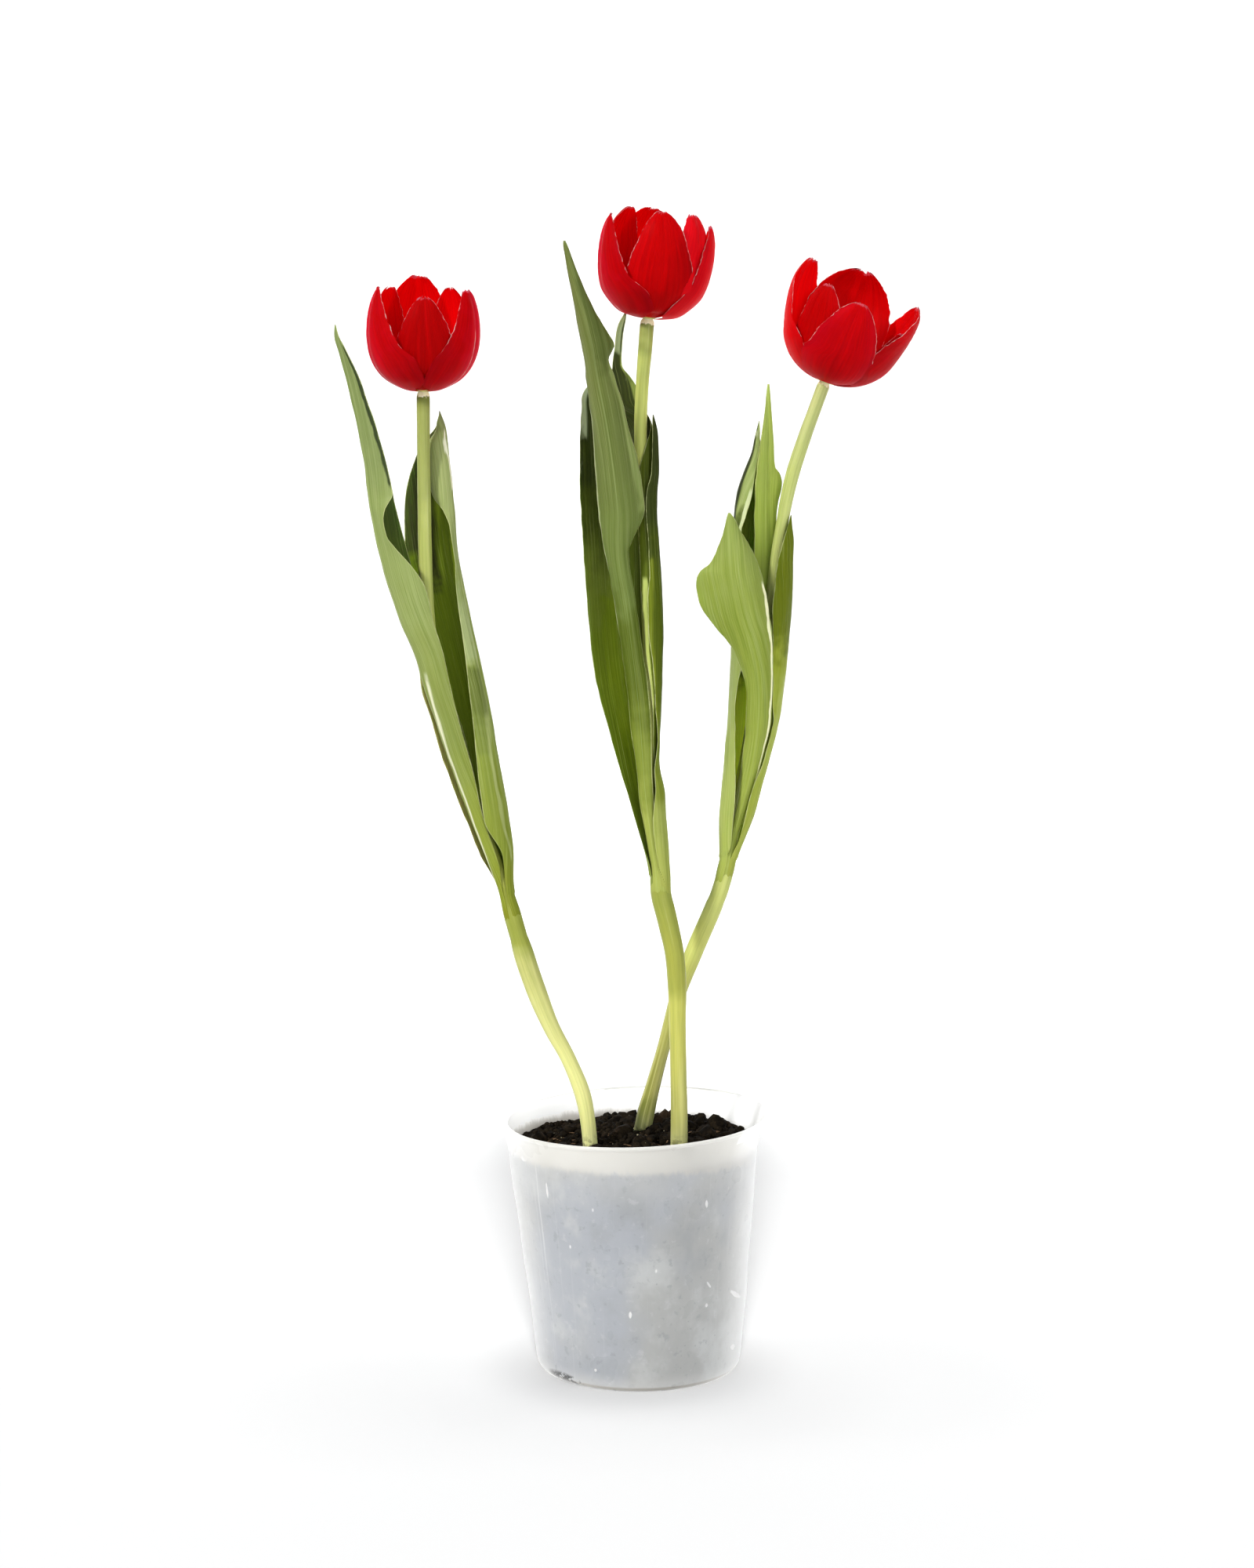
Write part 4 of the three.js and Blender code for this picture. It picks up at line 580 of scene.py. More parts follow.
# ----------------------------------------------------------------- materials
class Nodes:
    """Short names for shader nodes."""

    def __init__(self, name):
        self.material = bpy.data.materials.new(name)
        self.material.use_nodes = True
        self.tree = self.material.node_tree
        self.tree.nodes.clear()
        self.out = self.new("ShaderNodeOutputMaterial")
        self.bsdf = self.new("ShaderNodeBsdfPrincipled")
        self.link(self.bsdf.outputs[0], self.out.inputs["Surface"])

    def new(self, kind):
        return self.tree.nodes.new(kind)

    def link(self, a, b):
        self.tree.links.new(a, b)

    def put(self, value, socket):
        if isinstance(value, bpy.types.NodeSocket):
            self.link(value, socket)
        elif isinstance(value, (tuple, list)):
            socket.default_value = (*value, 1.0)[: len(socket.default_value)]
        else:
            socket.default_value = value

    def attr(self, name):
        n = self.new("ShaderNodeAttribute")
        n.attribute_name = name
        return n.outputs["Fac"]

    def place(self):
        return self.new("ShaderNodeTexCoord").outputs["Object"]

    def split(self, v):
        n = self.new("ShaderNodeSeparateXYZ")
        self.link(v, n.inputs[0])
        return n.outputs

    def join(self, x, y, z):
        n = self.new("ShaderNodeCombineXYZ")
        for k, v in enumerate((x, y, z)):
            self.put(v, n.inputs[k])
        return n.outputs[0]

    def math(self, op, a, b=0.0, c=0.0):
        n = self.new("ShaderNodeMath")
        n.operation = op
        for k, v in enumerate((a, b, c)):
            self.put(v, n.inputs[k])
        return n.outputs[0]

    def add(self, a, b):
        return self.math("ADD", a, b)

    def mul(self, a, b):
        return self.math("MULTIPLY", a, b)

    def sub(self, a, b):
        return self.math("SUBTRACT", a, b)

    def scale(self, v, s):
        n = self.new("ShaderNodeVectorMath")
        n.operation = "MULTIPLY"
        self.link(v, n.inputs[0])
        n.inputs[1].default_value = s if isinstance(s, (tuple, list)) else (s, s, s)
        return n.outputs[0]

    def range(self, x, a, b, c=0.0, d=1.0, smooth=True):
        n = self.new("ShaderNodeMapRange")
        n.interpolation_type = "SMOOTHSTEP" if smooth else "LINEAR"
        n.clamp = True
        for k, v in zip(("Value", "From Min", "From Max", "To Min", "To Max"), (x, a, b, c, d)):
            self.put(v, n.inputs[k])
        return n.outputs["Result"]

    def noise(self, v, scale=1.0, detail=2.0, rough=0.5, distortion=0.0):
        n = self.new("ShaderNodeTexNoise")
        self.link(v, n.inputs["Vector"])
        n.inputs["Scale"].default_value = scale
        n.inputs["Detail"].default_value = detail
        n.inputs["Roughness"].default_value = rough
        n.inputs["Distortion"].default_value = distortion
        return n.outputs["Fac"]

    def cells(self, v, scale=1.0, feature="F1", out="Distance"):
        n = self.new("ShaderNodeTexVoronoi")
        n.feature = feature
        self.link(v, n.inputs["Vector"])
        n.inputs["Scale"].default_value = scale
        return n.outputs[out]

    def mix(self, f, a, b, blend="MIX"):
        n = self.new("ShaderNodeMix")
        n.data_type = "RGBA"
        n.blend_type = blend
        n.clamp_factor = True
        self.put(f, n.inputs[0])
        self.put(a, n.inputs[6])
        self.put(b, n.inputs[7])
        return n.outputs[2]

    def bump(self, height, distance, strength=1.0, normal=None):
        n = self.new("ShaderNodeBump")
        n.inputs["Strength"].default_value = strength
        n.inputs["Distance"].default_value = distance
        self.link(height, n.inputs["Height"])
        if normal is not None:
            self.link(normal, n.inputs["Normal"])
        return n.outputs[0]

    def finish(self, color=None, rough=None, normal=None, **constants):
        if color is not None:
            self.put(color, self.bsdf.inputs["Base Color"])
        if rough is not None:
            self.put(rough, self.bsdf.inputs["Roughness"])
        if normal is not None:
            self.link(normal, self.bsdf.inputs["Normal"])
        for key, v in constants.items():
            self.bsdf.inputs[key.replace("_", " ")].default_value = v
        return self.material


def ladder(n, x, stops):
    """Colour by height: stops are (height, colour), lowest first."""
    c = stops[0][1]
    for (x0, _), (x1, above) in zip(stops, stops[1:]):
        c = n.mix(n.range(x, x0, x1), c, above)
    return c


def track(n, x, points):
    """A value that follows straight stretches between points (x, value), x rising."""
    value = float(points[0][1])
    for (x0, y0), (x1, y1) in zip(points, points[1:]):
        if y1 != y0:
            value = n.add(value, n.range(x, x0, x1, 0.0, y1 - y0))
    return value


def leaf_material(name, outside, inside, seed, edge=(0.50, 0.54, 0.24), bloomed=(0.36, 0.42, 0.17), bloom=0.30, shade_and_light_bands=(), highlight_and_shade_lines=(), pale_edge=0.85):
    """Waxy leaf. Parallel veins run along it and the edge is pale. The face that clasps the stem is painted darker on
    most leaves, as painted shade, and lighter where it is lit, as painted light.
    bands are (face, u0, u1, z0, z1, colour, strength): stretches of another green along the blade, mostly painted shade
    where the blade lies in shadow and painted light where it is lit.
    marks are (face, [(z, u), ...], half width in u, colour, strength): lines that run along it, painted highlights and
    painted shade."""
    n = Nodes(name)
    u, t, inner, rim, across = (n.attr(k) for k in ("u", "along", "inner", "edge", "across"))
    P = n.place()
    z = n.split(P)[2]
    cloud = n.noise(P, 55 + seed, 3, 0.55)
    h = n.add(z, n.range(cloud, 0.3, 0.7, -0.012, 0.012, False))
    # colour by height: the ladders hold painted shade where a stretch of the blade lies in shadow and painted light
    # where it is lit
    outer = ladder(n, h, outside)
    inward = ladder(n, h, inside)
    # long soft stretches of another green, mostly painted shade and painted light
    drift = n.add(u, n.range(n.noise(n.join(n.mul(across, 0.10), n.mul(t, 7.0), float(seed) + 5), 1.0, 2), 0.3, 0.7, -0.10, 0.10, False))
    for face, u0, u1, z0, z1, colour, strength in shade_and_light_bands:
        soft = 0.10 * min(1.0, (u1 - u0) / 0.4) + 0.01
        m = n.mul(n.range(drift, u0 - soft, u0 + soft), n.range(drift, u1 - soft, u1 + soft, 1.0, 0.0))
        m = n.mul(m, n.mul(n.range(h, z0 - 0.006, z0 + 0.006), n.range(h, z1 - 0.006, z1 + 0.006, float(strength), 0.0)))
        if face:
            outer = n.mix(m, outer, colour)
        else:
            inward = n.mix(m, inward, colour)
    # painted highlight lines and painted shade lines along the blade
    lines = []
    for face, path, half, colour, strength in highlight_and_shade_lines:
        off = n.math("ABSOLUTE", n.sub(n.add(u, n.range(n.noise(P, 130, 2), 0.3, 0.7, -0.25 * half, 0.25 * half, False)), track(n, z, path)))
        m = n.range(off, 0.55 * half, half, float(strength), 0.0)
        m = n.mul(m, n.mul(n.range(z, path[0][0], path[0][0] + 0.003), n.range(z, path[-1][0] - 0.003, path[-1][0], 1.0, 0.0)))
        lines.append((n.mul(m, n.sub(1.0, inner)) if face else n.mul(m, inner), colour))
    # waxy bloom in drifting streaks, outside only
    streak_at = n.join(n.mul(across, 0.55), n.mul(t, 2.2), float(seed))
    streak = n.noise(streak_at, 1.0, 4, 0.6)
    outer = n.mix(n.mul(n.range(streak, 0.42, 0.72, 0, bloom), n.range(z, 0.23, 0.30)), outer, bloomed)
    outer = n.mix(n.range(streak, 0.46, 0.28, 0, 0.45), outer, (0.72, 0.78, 0.52), "MULTIPLY")
    inward = n.mix(n.range(streak, 0.45, 0.8, 0, 0.30), inward, (0.13, 0.18, 0.012))
    color = n.mix(inner, outer, inward)
    # parallel veins, closer together than the streaks
    vein_at = n.join(n.mul(across, 2.4), n.mul(t, 5.0), float(seed) + 3)
    vein = n.noise(vein_at, 1.0, 2, 0.5)
    line = n.math("SINE", n.mul(across, 5.4))
    relief = n.add(n.mul(vein, 0.7), n.mul(line, 0.12))
    color = n.mix(n.range(vein, 0.32, 0.58, 0.55, 0.0), color, (0.62, 0.70, 0.45), "MULTIPLY")
    color = n.mix(n.range(vein, 0.56, 0.74, 0.0, 0.22), color, (0.46, 0.52, 0.20))
    # faint specks, a pale rib and the thin pale edge
    rib = n.range(n.math("ABSOLUTE", u), 0.0, 0.06, 0.25, 0.0)
    color = n.mix(n.mul(n.mul(rib, n.range(t, 0.0, 0.8, 1.0, 0.25)), n.sub(1.0, inner)), color, (0.42, 0.50, 0.20))
    speck = n.range(n.cells(P, 420), 0.0, 0.16, 0.35, 0.0)
    color = n.mix(n.mul(speck, n.range(cloud, 0.45, 0.7)), color, (0.10, 0.13, 0.03))
    for m, colour in lines:
        color = n.mix(m, color, colour)
    pale = n.mul(n.range(n.add(rim, n.mul(n.noise(P, 900, 2), 0.30)), 0.22, 0.62, pale_edge, 0.0), n.range(z, 0.232, 0.262, 0.0, 1.0))
    pale = n.mul(pale, n.range(n.noise(P, 160, 2), 0.36, 0.52, 0.35, 1.0))
    color = n.mix(pale, color, edge)
    rough = n.add(n.range(cloud, 0.3, 0.7, 0.42, 0.56), n.mul(vein, 0.10))
    fine = n.noise(P, 1500, 2, 0.6)
    normal = n.bump(relief, 0.00022, 0.55)
    normal = n.bump(fine, 0.00005, 0.35, normal)
    return n.finish(color, rough, normal, Specular_IOR_Level=0.12, Subsurface_Weight=0.08, Subsurface_Radius=(0.5, 1.0, 0.15), Subsurface_Scale=0.0010)


def petal_material(name, body, sheen_flank, inside, seed, side=0, depth=0.30, edges=(0.5, 0.5, 0.5, 1.0), line=None):
    """Silky red petal: fine lengthwise veins, a painted sheen that turns lighter and cooler towards the sides, painted
    shade low on the outside, a thin torn pale edge, yellowish at the base, and a painted highlight line where one is
    given.
    """
    n = Nodes(name)
    u, t, inner, rim, across = (n.attr(k) for k in ("u", "along", "inner", "edge", "across"))
    P = n.place()
    au = n.math("ABSOLUTE", u)
    cloud = n.noise(P, 130 + seed, 3, 0.55)
    # painted sheen: from the body colour to the lighter, cooler flank colour towards both sides, and towards one side
    # where side is set
    sheen_mask = n.range(n.mul(u, float(side)), -0.60, 0.45) if side else n.range(au, 0.25, 1.0)
    outer = n.mix(n.add(sheen_mask, n.range(cloud, 0.3, 0.7, -0.18, 0.18, False)), body, sheen_flank)
    color = n.mix(inner, outer, inside)
    vein_at = n.join(n.add(n.mul(u, 9.0), n.mul(n.noise(P, 60, 2), 0.8)), n.mul(t, 1.3), float(seed))
    vein = n.noise(vein_at, 1.6, 4, 0.62)
    color = n.mix(n.range(vein, 0.34, 0.62, 0.50, 0.0), color, (0.62, 0.5, 1.0), "MULTIPLY")
    color = n.mix(n.range(vein, 0.55, 0.78, 0.0, 0.30), color, (0.60, 0.0012, 0.004))
    # painted shade: darker low on the outside
    low = n.mul(n.range(t, 0.10, 0.42, float(depth), 0.0), n.sub(1.0, inner))
    color = n.mix(low, color, (0.72, 0.7, 1.0), "MULTIPLY")
    # base of the petal
    foot = n.range(n.add(t, n.mul(n.noise(P, 700, 2), 0.03)), 0.028, 0.062, 1.0, 0.0)
    color = n.mix(foot, color, (0.72, 0.62, 0.22))
    # torn pale edge, broken up, stronger at the very tip
    torn = n.add(rim, n.mul(n.sub(n.noise(P, 620, 3, 0.65), 0.5), 1.0))
    left, right, t0, t1 = edges
    power = n.range(u, -0.2, 0.2, float(left), float(right))
    width = n.add(0.20, n.mul(power, 0.30))
    pale = n.range(n.math("DIVIDE", torn, width), 0.05, 1.0, 1.0, 0.0)
    gaps = n.range(n.noise(P, 190, 2), 0.44, 0.56, 0.0, 1.0)
    gaps = n.math("MAXIMUM", gaps, n.range(power, 0.75, 1.0, 0.0, 0.7))
    window = n.mul(n.range(t, t0 - 0.08, t0 + 0.08), n.range(t, t1, t1 + 0.1, 1.0, 0.5))
    pale = n.mul(n.mul(pale, gaps), n.mul(window, n.range(power, 0.0, 1.0, 0.35, 1.0)))
    color = n.mix(pale, color, n.mix(n.range(n.noise(P, 420, 2), 0.4, 0.6), (0.72, 0.20, 0.20), (0.90, 0.62, 0.58)))
    tip = n.mul(n.range(n.add(t, n.mul(n.sub(n.noise(P, 500, 3), 0.5), 0.06)), 0.955, 0.985), n.range(n.noise(P, 260, 2), 0.42, 0.55, 0.1, 0.9))
    color = n.mix(tip, color, (0.62, 0.10, 0.14))
    flush = n.mul(n.mul(n.range(rim, 0.1, 1.2, 0.30, 0.0), gaps), window)
    color = n.mix(flush, color, (0.50, 0.012, 0.03))
    # painted highlight: a pale line along the outside of the petal
    if line:
        at, l0, l1, strength = line
        wobble = n.mul(n.sub(n.noise(n.join(n.mul(t, 9.0), 0.0, float(seed)), 1.0, 2), 0.5), 1.2)
        off = n.math("ABSOLUTE", n.add(n.sub(across, float(at)), wobble))
        run = n.mul(n.range(t, l0, l0 + 0.06), n.range(t, l1 - 0.06, l1, 1.0, 0.0))
        streak = n.mul(n.mul(n.range(off, 0.10, 0.42, float(strength), 0.0), run), n.sub(1.0, inner))
        streak = n.mul(streak, n.range(n.noise(P, 330, 2), 0.38, 0.55, 0.45, 1.0))
        color = n.mix(streak, color, (0.80, 0.50, 0.46))
    rough = n.add(n.range(cloud, 0.3, 0.7, 0.40, 0.52), n.mul(vein, 0.12))
    normal = n.bump(vein, 0.00028, 0.6)
    normal = n.bump(n.noise(P, 2600, 2, 0.6), 0.00003, 0.4, normal)
    return n.finish(color, rough, normal, Specular_IOR_Level=0.02, Subsurface_Weight=0.55, Subsurface_Radius=(1.0, 0.03, 0.03), Subsurface_Scale=0.0035)


def stem_material(name, stops, seed, collar):
    n = Nodes(name)
    ang, t = n.attr("around"), n.attr("along")
    P = n.place()
    z = n.split(P)[2]
    # colour by height: the stops hold painted shadow under the flower and painted light on stretches that lie in shade
    color = ladder(n, n.add(z, n.range(n.noise(P, 60 + seed, 2), 0.3, 0.7, -0.008, 0.008, False)), stops)
    cloud = n.noise(P, 90 + seed, 3)
    streak = n.noise(n.join(n.mul(ang, 2.4), n.mul(z, 22), float(seed)), 1.0, 4, 0.6)
    color = n.mix(n.range(streak, 0.35, 0.6, 0.30, 0.0), color, (0.17, 0.22, 0.035))
    color = n.mix(n.range(streak, 0.55, 0.8, 0.0, 0.40), color, (0.62, 0.66, 0.34))
    # painted light: a paler streak low down, where light comes through
    glow = n.mul(n.range(n.noise(n.join(n.mul(ang, 1.1), n.mul(z, 9), float(seed) + 9), 1.0, 1), 0.48, 0.66), n.range(z, 0.13, 0.19, 0.40, 0.0))
    color = n.mix(glow, color, (0.78, 0.76, 0.30))
    foot = n.range(z, 0.101, 0.122, 0.45, 0.0)
    color = n.mix(foot, color, (0.56, 0.58, 0.36))
    dirt = n.mul(n.range(z, 0.104, 0.1145, 1.0, 0.0), n.range(n.noise(P, 420, 3, 0.6), 0.50, 0.58))
    color = n.mix(dirt, color, (0.03, 0.022, 0.015))
    torn = n.range(n.add(n.attr("to_top"), n.mul(n.noise(P, 900, 2), -3.2)), collar, collar + 0.7, 1.0, 0.0)
    color = n.mix(torn, color, (0.92, 0.86, 0.58))
    rough = n.range(cloud, 0.3, 0.7, 0.34, 0.50)
    normal = n.bump(streak, 0.0002, 0.5)
    normal = n.bump(n.noise(P, 1400, 2, 0.6), 0.00005, 0.4, normal)
    return n.finish(color, rough, normal, Specular_IOR_Level=0.16, Subsurface_Weight=0.22, Subsurface_Radius=(0.7, 1.0, 0.2), Subsurface_Scale=0.003)


def soil_material(name, crumb):
    n = Nodes(name)
    P = n.place()
    a = n.noise(P, 260, 5, 0.65)
    b = n.cells(P, 520)
    color = n.mix(n.range(a, 0.35, 0.68), (0.0030, 0.0022, 0.0014), (0.020, 0.0145, 0.0085))
    color = n.mix(n.range(n.noise(P, 70, 2), 0.55, 0.75, 0.0, 0.55), color, (0.050, 0.030, 0.016))
    fibre = n.range(n.noise(n.scale(P, (900, 260, 1400)), 1.0, 3, 0.6), 0.66, 0.76, 0.0, 0.75)
    color = n.mix(fibre, color, (0.16, 0.10, 0.05))
    speck = n.range(n.cells(P, 330), 0.0, 0.085, 1.0, 0.0)
    color = n.mix(n.mul(speck, n.range(n.noise(P, 45, 1), 0.56, 0.64)), color, (0.55, 0.50, 0.30))
    height = n.add(n.mul(a, 0.8), n.mul(b, 0.7))
    normal = n.bump(height, 0.0012 if not crumb else 0.0006, 0.9)
    return n.finish(color, n.range(a, 0.3, 0.7, 0.72, 0.95), normal, Specular_IOR_Level=0.05)


def pot_material(name):
    """Frosted white plastic. Above the soil line it is a warm white; below it the dark soil behind the wall shows
    through as a cool mottled grey. The sides, the flanks and the inside above the soil are painted lighter as painted
    light, and the inside glows a little.
    """
    n = Nodes(name)
    P = n.place()
    x, y, z = n.split(P)
    wall = n.attr("outer")
    # ragged soil line behind the wall
    ang = n.math("ARCTAN2", y, x)
    ragged = n.noise(n.join(n.mul(n.math("COSINE", ang), 9.0), n.mul(n.math("SINE", ang), 9.0), n.mul(z, 60)), 1.0, 5, 0.68)
    line = n.add(n.add(z, n.mul(n.sub(ragged, 0.5), -0.009)), n.range(x, 0.01, 0.055, 0.0, 0.0035))
    below = n.range(line, 0.1014, 0.1050, 1.0, 0.0)
    warm = n.mix(n.noise(P, 22, 3), (0.525, 0.510, 0.470), (0.59, 0.58, 0.55))
    # painted light: the warm white turns brighter on the left and right sides near the rim
    painted_light_sides = n.range(n.math("ABSOLUTE", n.math("COSINE", ang)), 0.72, 0.98)
    warm = n.mix(n.mul(painted_light_sides, n.range(z, 0.100, 0.1135, 0.3, 0.9)), warm, (0.97, 0.965, 0.95))
    # large soft drifts from blue grey to neutral, and small packed crumbs
    drift = n.noise(P, 17, 3, 0.5)
    cool = n.mix(n.range(n.add(drift, n.range(x, -0.02, 0.04, -0.05, 0.12)), 0.38, 0.60), (0.382, 0.401, 0.436), (0.392, 0.396, 0.388))
    drift2 = n.noise(n.scale(P, (1, 1, 0.8)), 34, 4, 0.6)
    cool = n.mix(n.range(drift2, 0.50, 0.68, 0.0, 0.75), cool, (0.53, 0.545, 0.54))
    cool = n.mix(n.range(drift2, 0.48, 0.30, 0.0, 0.60), cool, (0.30, 0.312, 0.325))
    packed = n.noise(P, 240, 4, 0.6)
    cool = n.mix(n.range(packed, 0.42, 0.30, 0.0, 0.38), cool, (0.22, 0.23, 0.25))
    cool = n.mix(n.range(packed, 0.58, 0.72, 0.0, 0.35), cool, (0.56, 0.57, 0.58))
    dots = n.mul(n.range(n.cells(P, 210), 0.0, 0.13, 1.0, 0.0), n.range(n.noise(P, 30, 1), 0.52, 0.62))
    cool = n.mix(n.mul(dots, 0.5), cool, (0.18, 0.19, 0.21))
    bubbles = n.mul(n.range(n.cells(n.scale(P, (1, 1, 0.55)), 95), 0.0, 0.075, 1.0, 0.0), n.range(n.noise(P, 24, 1), 0.50, 0.60))
    cool = n.mix(bubbles, cool, (0.95, 0.95, 0.93))
    # clearer towards the foot and by the soil line, where the soil stands off the wall, and painted light on the two
    # flanks
    cool = n.mix(n.range(z, 0.0, 0.010, 0.55, 0.0), cool, (0.72, 0.72, 0.70))
    cool = n.mix(n.range(z, 0.083, 0.105, 0.0, 0.25), cool, (0.68, 0.69, 0.68))
    # painted light: both flanks are painted lighter, less on the left, where the key light falls
    painted_light_flanks = n.mul(n.range(n.math("ABSOLUTE", n.math("COSINE", ang)), 0.72, 0.98, 0.0, 1.0), n.range(x, -0.02, 0.02, 0.36, 0.66))
    painted_light_flanks = n.mul(painted_light_flanks, n.range(n.noise(n.scale(P, (1, 1, 0.5)), 45, 3), 0.35, 0.6, 0.7, 1.0))
    cool = n.mix(painted_light_flanks, cool, (0.74, 0.74, 0.725))
    # rubbed vertical streaks
    streak = n.noise(n.join(n.mul(n.math("COSINE", ang), 34), n.mul(n.math("SINE", ang), 34), n.mul(z, 9)), 1.0, 3, 0.6)
    cool = n.mix(n.mul(n.range(streak, 0.60, 0.78, 0.0, 0.4), n.range(n.math("ABSOLUTE", n.math("COSINE", ang)), 0.5, 0.85, 0.15, 1.0)), cool, (0.86, 0.86, 0.84))
    # scuffs where the plastic has whitened
    for px, pz, w, h, slope in ((44.6, 39.5, 1.4, 4.0, 0.75), (43.6, 14.0, 1.4, 1.9, 0.2), (31.0, 87.0, 0.8, 2.4, 0.0), (-2.9, 37.5, 0.9, 2.2, 0.0), (-40.0, 92.0, 0.6, 4.6, 0.1), (-50.8, 104.5, 2.2, 2.6, 0.0), (32.2, 48.5, 0.7, 2.2, 0.5), (31.2, 39.0, 0.8, 1.2, 0.0), (-18.5, 10.0, 0.8, 0.9, 0.0)):
        dx = n.sub(x, px / 1000)
        dz = n.sub(z, pz / 1000)
        sx = n.math("DIVIDE", n.add(dx, n.mul(dz, slope)), w / 1000)
        sz = n.math("DIVIDE", dz, h / 1000)
        d = n.add(n.mul(sx, sx), n.mul(sz, sz))
        fleck = n.mul(n.range(n.add(d, n.mul(n.noise(P, 500, 2), 0.5)), 0.55, 1.0, 1.0, 0.0), n.range(y, 0.0, -0.004))
        cool = n.mix(fleck, cool, (0.98, 0.98, 0.96))
    color = n.mix(n.mul(below, wall), warm, cool)
    # inside, above the soil, the wall is painted bright as painted light for light that comes through it, with soil
    # dust and splashes
    color = n.mix(n.mul(n.sub(1.0, wall), n.range(z, 0.103, 0.108)), color, (1.0, 0.99, 0.97))
    splash = n.mul(n.range(n.cells(P, 260), 0.0, 0.14, 1.0, 0.0), n.range(n.noise(P, 48, 1), 0.53, 0.60))
    splash = n.mul(splash, n.mul(n.sub(1.0, wall), n.range(z, 0.104, 0.1165, 1.0, 0.25)))
    color = n.mix(splash, color, (0.06, 0.045, 0.03))
    tide = n.mul(n.range(line, 0.1035, 0.1075, 0.6, 0.0), n.sub(1.0, wall))
    color = n.mix(tide, color, (0.20, 0.17, 0.13))
    mud = n.mul(n.range(z, 0.0, 0.0045, 1.0, 0.0), n.range(n.noise(P, 120, 4, 0.65), 0.60, 0.66))
    color = n.mix(n.mul(mud, 0.6), color, (0.05, 0.045, 0.04))
    # a smear of wet soil at the foot, by a drain hole
    sx = n.math("DIVIDE", n.add(x, 0.0318), 0.0085)
    sz = n.math("DIVIDE", n.add(n.sub(z, 0.0022), n.mul(n.add(x, 0.0318), 0.12)), 0.0034)
    smear = n.range(n.add(n.mul(sx, sx), n.mul(sz, sz)), 0.3, 1.2, 1.0, 0.0)
    smear = n.mul(smear, n.mul(n.range(n.add(n.noise(P, 420, 4, 0.7), n.range(x, -0.038, -0.024, 0.09, -0.02)), 0.47, 0.52), n.range(y, 0.0, -0.004)))
    color = n.mix(n.mul(smear, 0.96), color, (0.008, 0.008, 0.007))
    rough = n.range(n.noise(P, 40, 3), 0.3, 0.7, 0.26, 0.40)
    normal = n.bump(n.noise(n.scale(P, (1, 1, 0.45)), 120, 3), 0.0004, 0.35)
    normal = n.bump(n.noise(P, 2200, 2), 0.00003, 0.4, normal)
    # painted light: the inside above the soil glows a little, for light that has come through the wall
    n.bsdf.inputs["Emission Color"].default_value = (1.0, 0.995, 0.975, 1)
    n.link(n.mul(n.sub(1.0, wall), n.range(z, 0.103, 0.109, 0.0, 0.20)), n.bsdf.inputs["Emission Strength"])
    return n.finish(color, rough, normal, Specular_IOR_Level=0.35, Subsurface_Weight=0.9, Subsurface_Radius=(1.0, 1.0, 1.0), Subsurface_Scale=0.007, Sheen_Weight=1.0, Sheen_Roughness=0.45)


def plain_tissue(name, a, b, scale, rough, **constants):
    n = Nodes(name)
    P = n.place()
    f = n.noise(P, scale, 4, 0.6)
    g = n.noise(n.scale(P, (1, 1, 0.25)), scale * 2.4, 3, 0.6)
    color = n.mix(n.range(f, 0.3, 0.7), a, b)
    color = n.mix(n.range(g, 0.35, 0.6, 0.35, 0.0), color, tuple(0.45 * v for v in a))
    return n.finish(color, n.range(g, 0.3, 0.7, rough - 0.08, rough + 0.08), n.bump(g, 0.00025, 0.6), **constants)


# --------------------------------------------------------------------- build
def ride(ob, slot, *nodes):
    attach(ob, "root")
    if nodes:
        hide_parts(*nodes)
    return ob


def leaf_grid(rows, ts, us):
    tab, length = spine(rows)
    s = tab(ts)
    e = 1e-3
    T = tab(np.minimum(1, ts + e))[:, :3] - tab(np.maximum(0, ts - e))[:, :3]
    T /= np.linalg.norm(T, axis=1, keepdims=True)
    ph = np.radians(s[:, 3])
    out = vec(np.sin(ph), -np.cos(ph), 0 * ph)
    A = np.cross(np.array([0, 0, 1.0]), out)
    N = np.cross(A, T)
    N /= np.linalg.norm(N, axis=1, keepdims=True)
    flip = ((N * out).sum(1) < 0) & (np.abs(T[:, 2]) > 0.05)
    N[flip] *= -1
    U = us[None, :]
    left = U < 0
    w = np.where(left, s[:, 5][:, None], s[:, 7][:, None])
    k = np.radians(np.where(left, s[:, 6][:, None], s[:, 8][:, None]))
    q = np.abs(U) + 0 * w
    kk = np.where(np.abs(k) < 1e-3, 1e-3, k)
    X = w / kk * np.sin(kk * q)
    Y = w / kk * (1 - np.cos(kk * q))
    c, d = np.cos(np.radians(s[:, 4]))[:, None], np.sin(np.radians(s[:, 4]))[:, None]
    side = np.where(U >= 0, 1, -1) * (X * c - Y * d)
    back = X * d + Y * c
    G = s[:, None, :3] + A[:, None, :] * side[..., None] - N[:, None, :] * back[..., None]
    across = np.where(left, -1, 1) * w * q
    edge = w * (1 - q)
    return G, across, edge, w, length


# Where each lowest sheath starts and how thick the stem is there (mm).
SHEATH = {"a": (207.0, 3.95), "b": (218.0, 4.5), "c": (223.0, 3.8)}


def stem_girth(key, z, r):
    """The stem keeps its girth up to the sheath and only narrows inside it."""
    z0, r0 = SHEATH[key]
    near = fade(z, z0 - 22, z0 - 4) * (1 - fade(z, z0 + 3, z0 + 20))
    return r + np.maximum(0, r0 - r) * near


def stem_line(key):
    tab, _ = spine(STEMS["stem_" + key])
    s = tab(np.linspace(0, 1, 1600))
    return s[:, :3], stem_girth(key, s[:, 2], s[:, 3])


